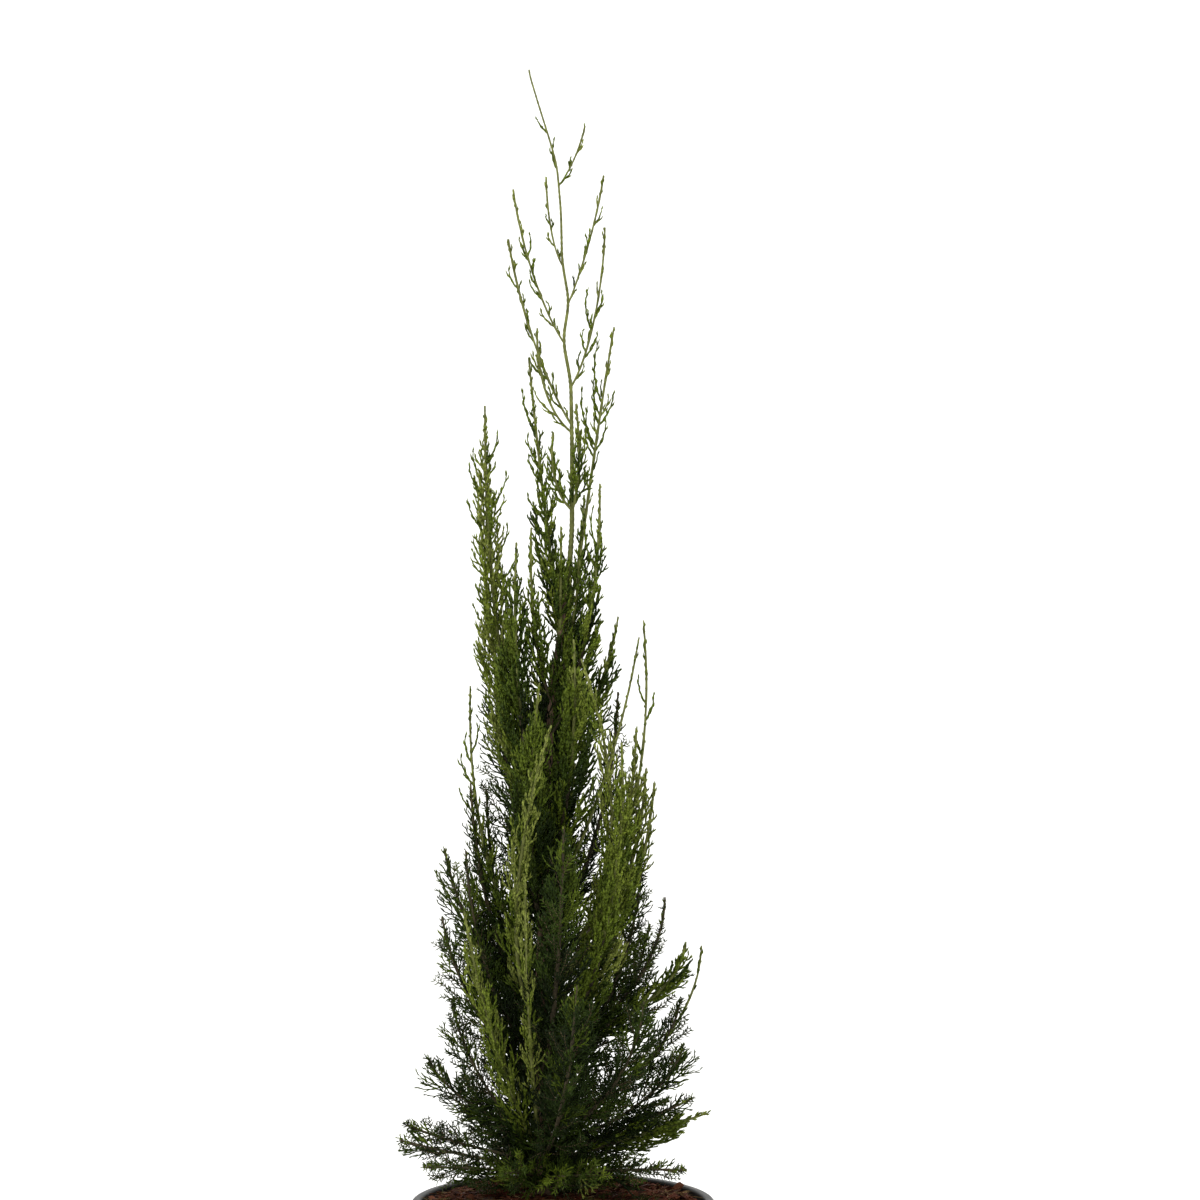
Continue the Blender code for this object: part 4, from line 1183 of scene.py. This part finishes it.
def litter_material(name, dark, light, scale=500):
    grain = Grain(scale, 5)
    stops = ((0.3, dark), (0.7, light))
    return new_material(name, dark, stops, grain, 0.9, 0.1, Relief(0.4, 0.0003, grain))


def pot_material():
    """Dark moulded plastic with a dusty bloom and fine scuffs."""
    dark, mid, dusty = (0.009, 0.009, 0.009), (0.017, 0.016, 0.015), (0.034, 0.030, 0.026)
    stops = ((0.38, dark), (0.62, mid), (0.8, dusty))
    scuffs = Relief(0.15, 0.0002, Grain(900, 2))
    return new_material("pot_plastic", (0.012, 0.012, 0.012), stops, Grain(38, 6), 0.48, 0.3, scuffs)


# Darkest and lightest tones, and the scale of the mottling where it is coarser.
BARKS = {
    "twig": ((0.075, 0.050, 0.026), (0.16, 0.12, 0.055)),
    "bark": ((0.055, 0.030, 0.018), (0.20, 0.125, 0.075)),
    "limb": ((0.028, 0.022, 0.010), (0.085, 0.065, 0.028)),
}
LITTERS = {
    "mulch_bed": ((0.008, 0.004, 0.003), (0.036, 0.012, 0.006), 300),
    "chip_0": ((0.036, 0.009, 0.004), (0.100, 0.026, 0.011)),
    "chip_1": ((0.018, 0.006, 0.004), (0.056, 0.018, 0.009)),
    "chip_2": ((0.052, 0.017, 0.008), (0.135, 0.045, 0.020)),
    "shred": ((0.042, 0.012, 0.005), (0.110, 0.034, 0.015)),
    "dry": ((0.13, 0.085, 0.035), (0.26, 0.19, 0.085)),
    "moss": ((0.022, 0.032, 0.008), (0.075, 0.090, 0.020)),
}


def all_materials():
    """Every material of the plant and the pot, by its short name."""
    made = {f"green_{i}": leaf_material(f"green_{i}", c) for i, c in enumerate(GREENS)}
    made["stem"] = leaf_material("stem", (0.150, 0.165, 0.045))
    made["pot"] = pot_material()
    made.update({name: bark_material(name, *tones) for name, tones in BARKS.items()})
    made.update({name: litter_material(name, *tones) for name, tones in LITTERS.items()})
    return made


# Stage, light and camera


CAMERA_PLACE = (0.0201, -1.655, 0.491)
FOCAL_PIXELS = 3048
PICTURE_PIXELS = 1200
SENSOR = 36.0


def make_stage():
    """A pale floor that sweeps up behind into a pale backdrop."""
    radius, half, depth, height, near = 1.2, 7.0, 3.2, 5.0, -6.0
    profile = [(near, 0.0), (depth - radius, 0.0)]
    for a in np.linspace(-90, 0, 17)[1:]:
        out, up = circle_point(radius, math.radians(a))
        profile.append((depth - radius + out, radius + up))
    profile.append((depth, height))
    points = [(x, y, z) for y, z in profile for x in (-half, half)]
    faces = [(2 * i, 2 * i + 1, 2 * i + 3, 2 * i + 2) for i in range(len(profile) - 1)]
    mesh = bpy.data.meshes.new("floor_sweep")
    mesh.from_pydata(points, [], faces)
    mesh.shade_smooth()
    pale = (0.80, 0.80, 0.79)
    stops = ((0.3, scaled(pale, 0.985)), (0.7, pale))
    mesh.materials.append(new_material("pale_floor", pale, stops, Grain(3, 2), roughness=0.9))
    floor = linked("floor_sweep", mesh)


def area_light(name, place, target, size, watts):
    data = bpy.data.lights.new(name, "AREA")
    data.shape = "DISK"
    data.size = size
    data.energy = watts
    light = linked(name, data)
    light.location = place
    light.rotation_euler = (Vector(target) - Vector(place)).to_track_quat("-Z", "Y").to_euler()


def make_lights():
    area_light("key", (-1.3, -1.9, 2.3), (0, 0, 0.45), 1.3, 46)
    area_light("fill", (2.0, -1.6, 1.2), (0, 0, 0.4), 1.6, 14)
    area_light("top", (0.0, 0.3, 2.6), (0, 0, 0.4), 1.6, 20)
    area_light("backdrop", (0.0, 1.2, 2.6), (0, 3.0, 0.9), 2.4, 70)
    world = bpy.data.worlds.new("studio")
    world.use_nodes = True
    background = world.node_tree.nodes["Background"]
    background.inputs["Color"].default_value = (1.0, 0.99, 0.96, 1)
    background.inputs["Strength"].default_value = 0.55
    bpy.context.scene.world = world


def make_camera():
    data = bpy.data.cameras.new("camera")
    data.sensor_width = SENSOR
    data.lens = SENSOR * FOCAL_PIXELS / PICTURE_PIXELS
    data.clip_start = 0.05
    camera = linked("camera", data)
    camera.location = CAMERA_PLACE
    camera.rotation_euler = (math.radians(90), 0, 0)
    bpy.context.scene.camera = camera


MATERIALS = all_materials()
make_camera()
make_stage()
make_lights()
make_wood()
make_foliage()
make_pot()
make_mulch()
bpy.context.scene.view_settings.view_transform = "Standard"
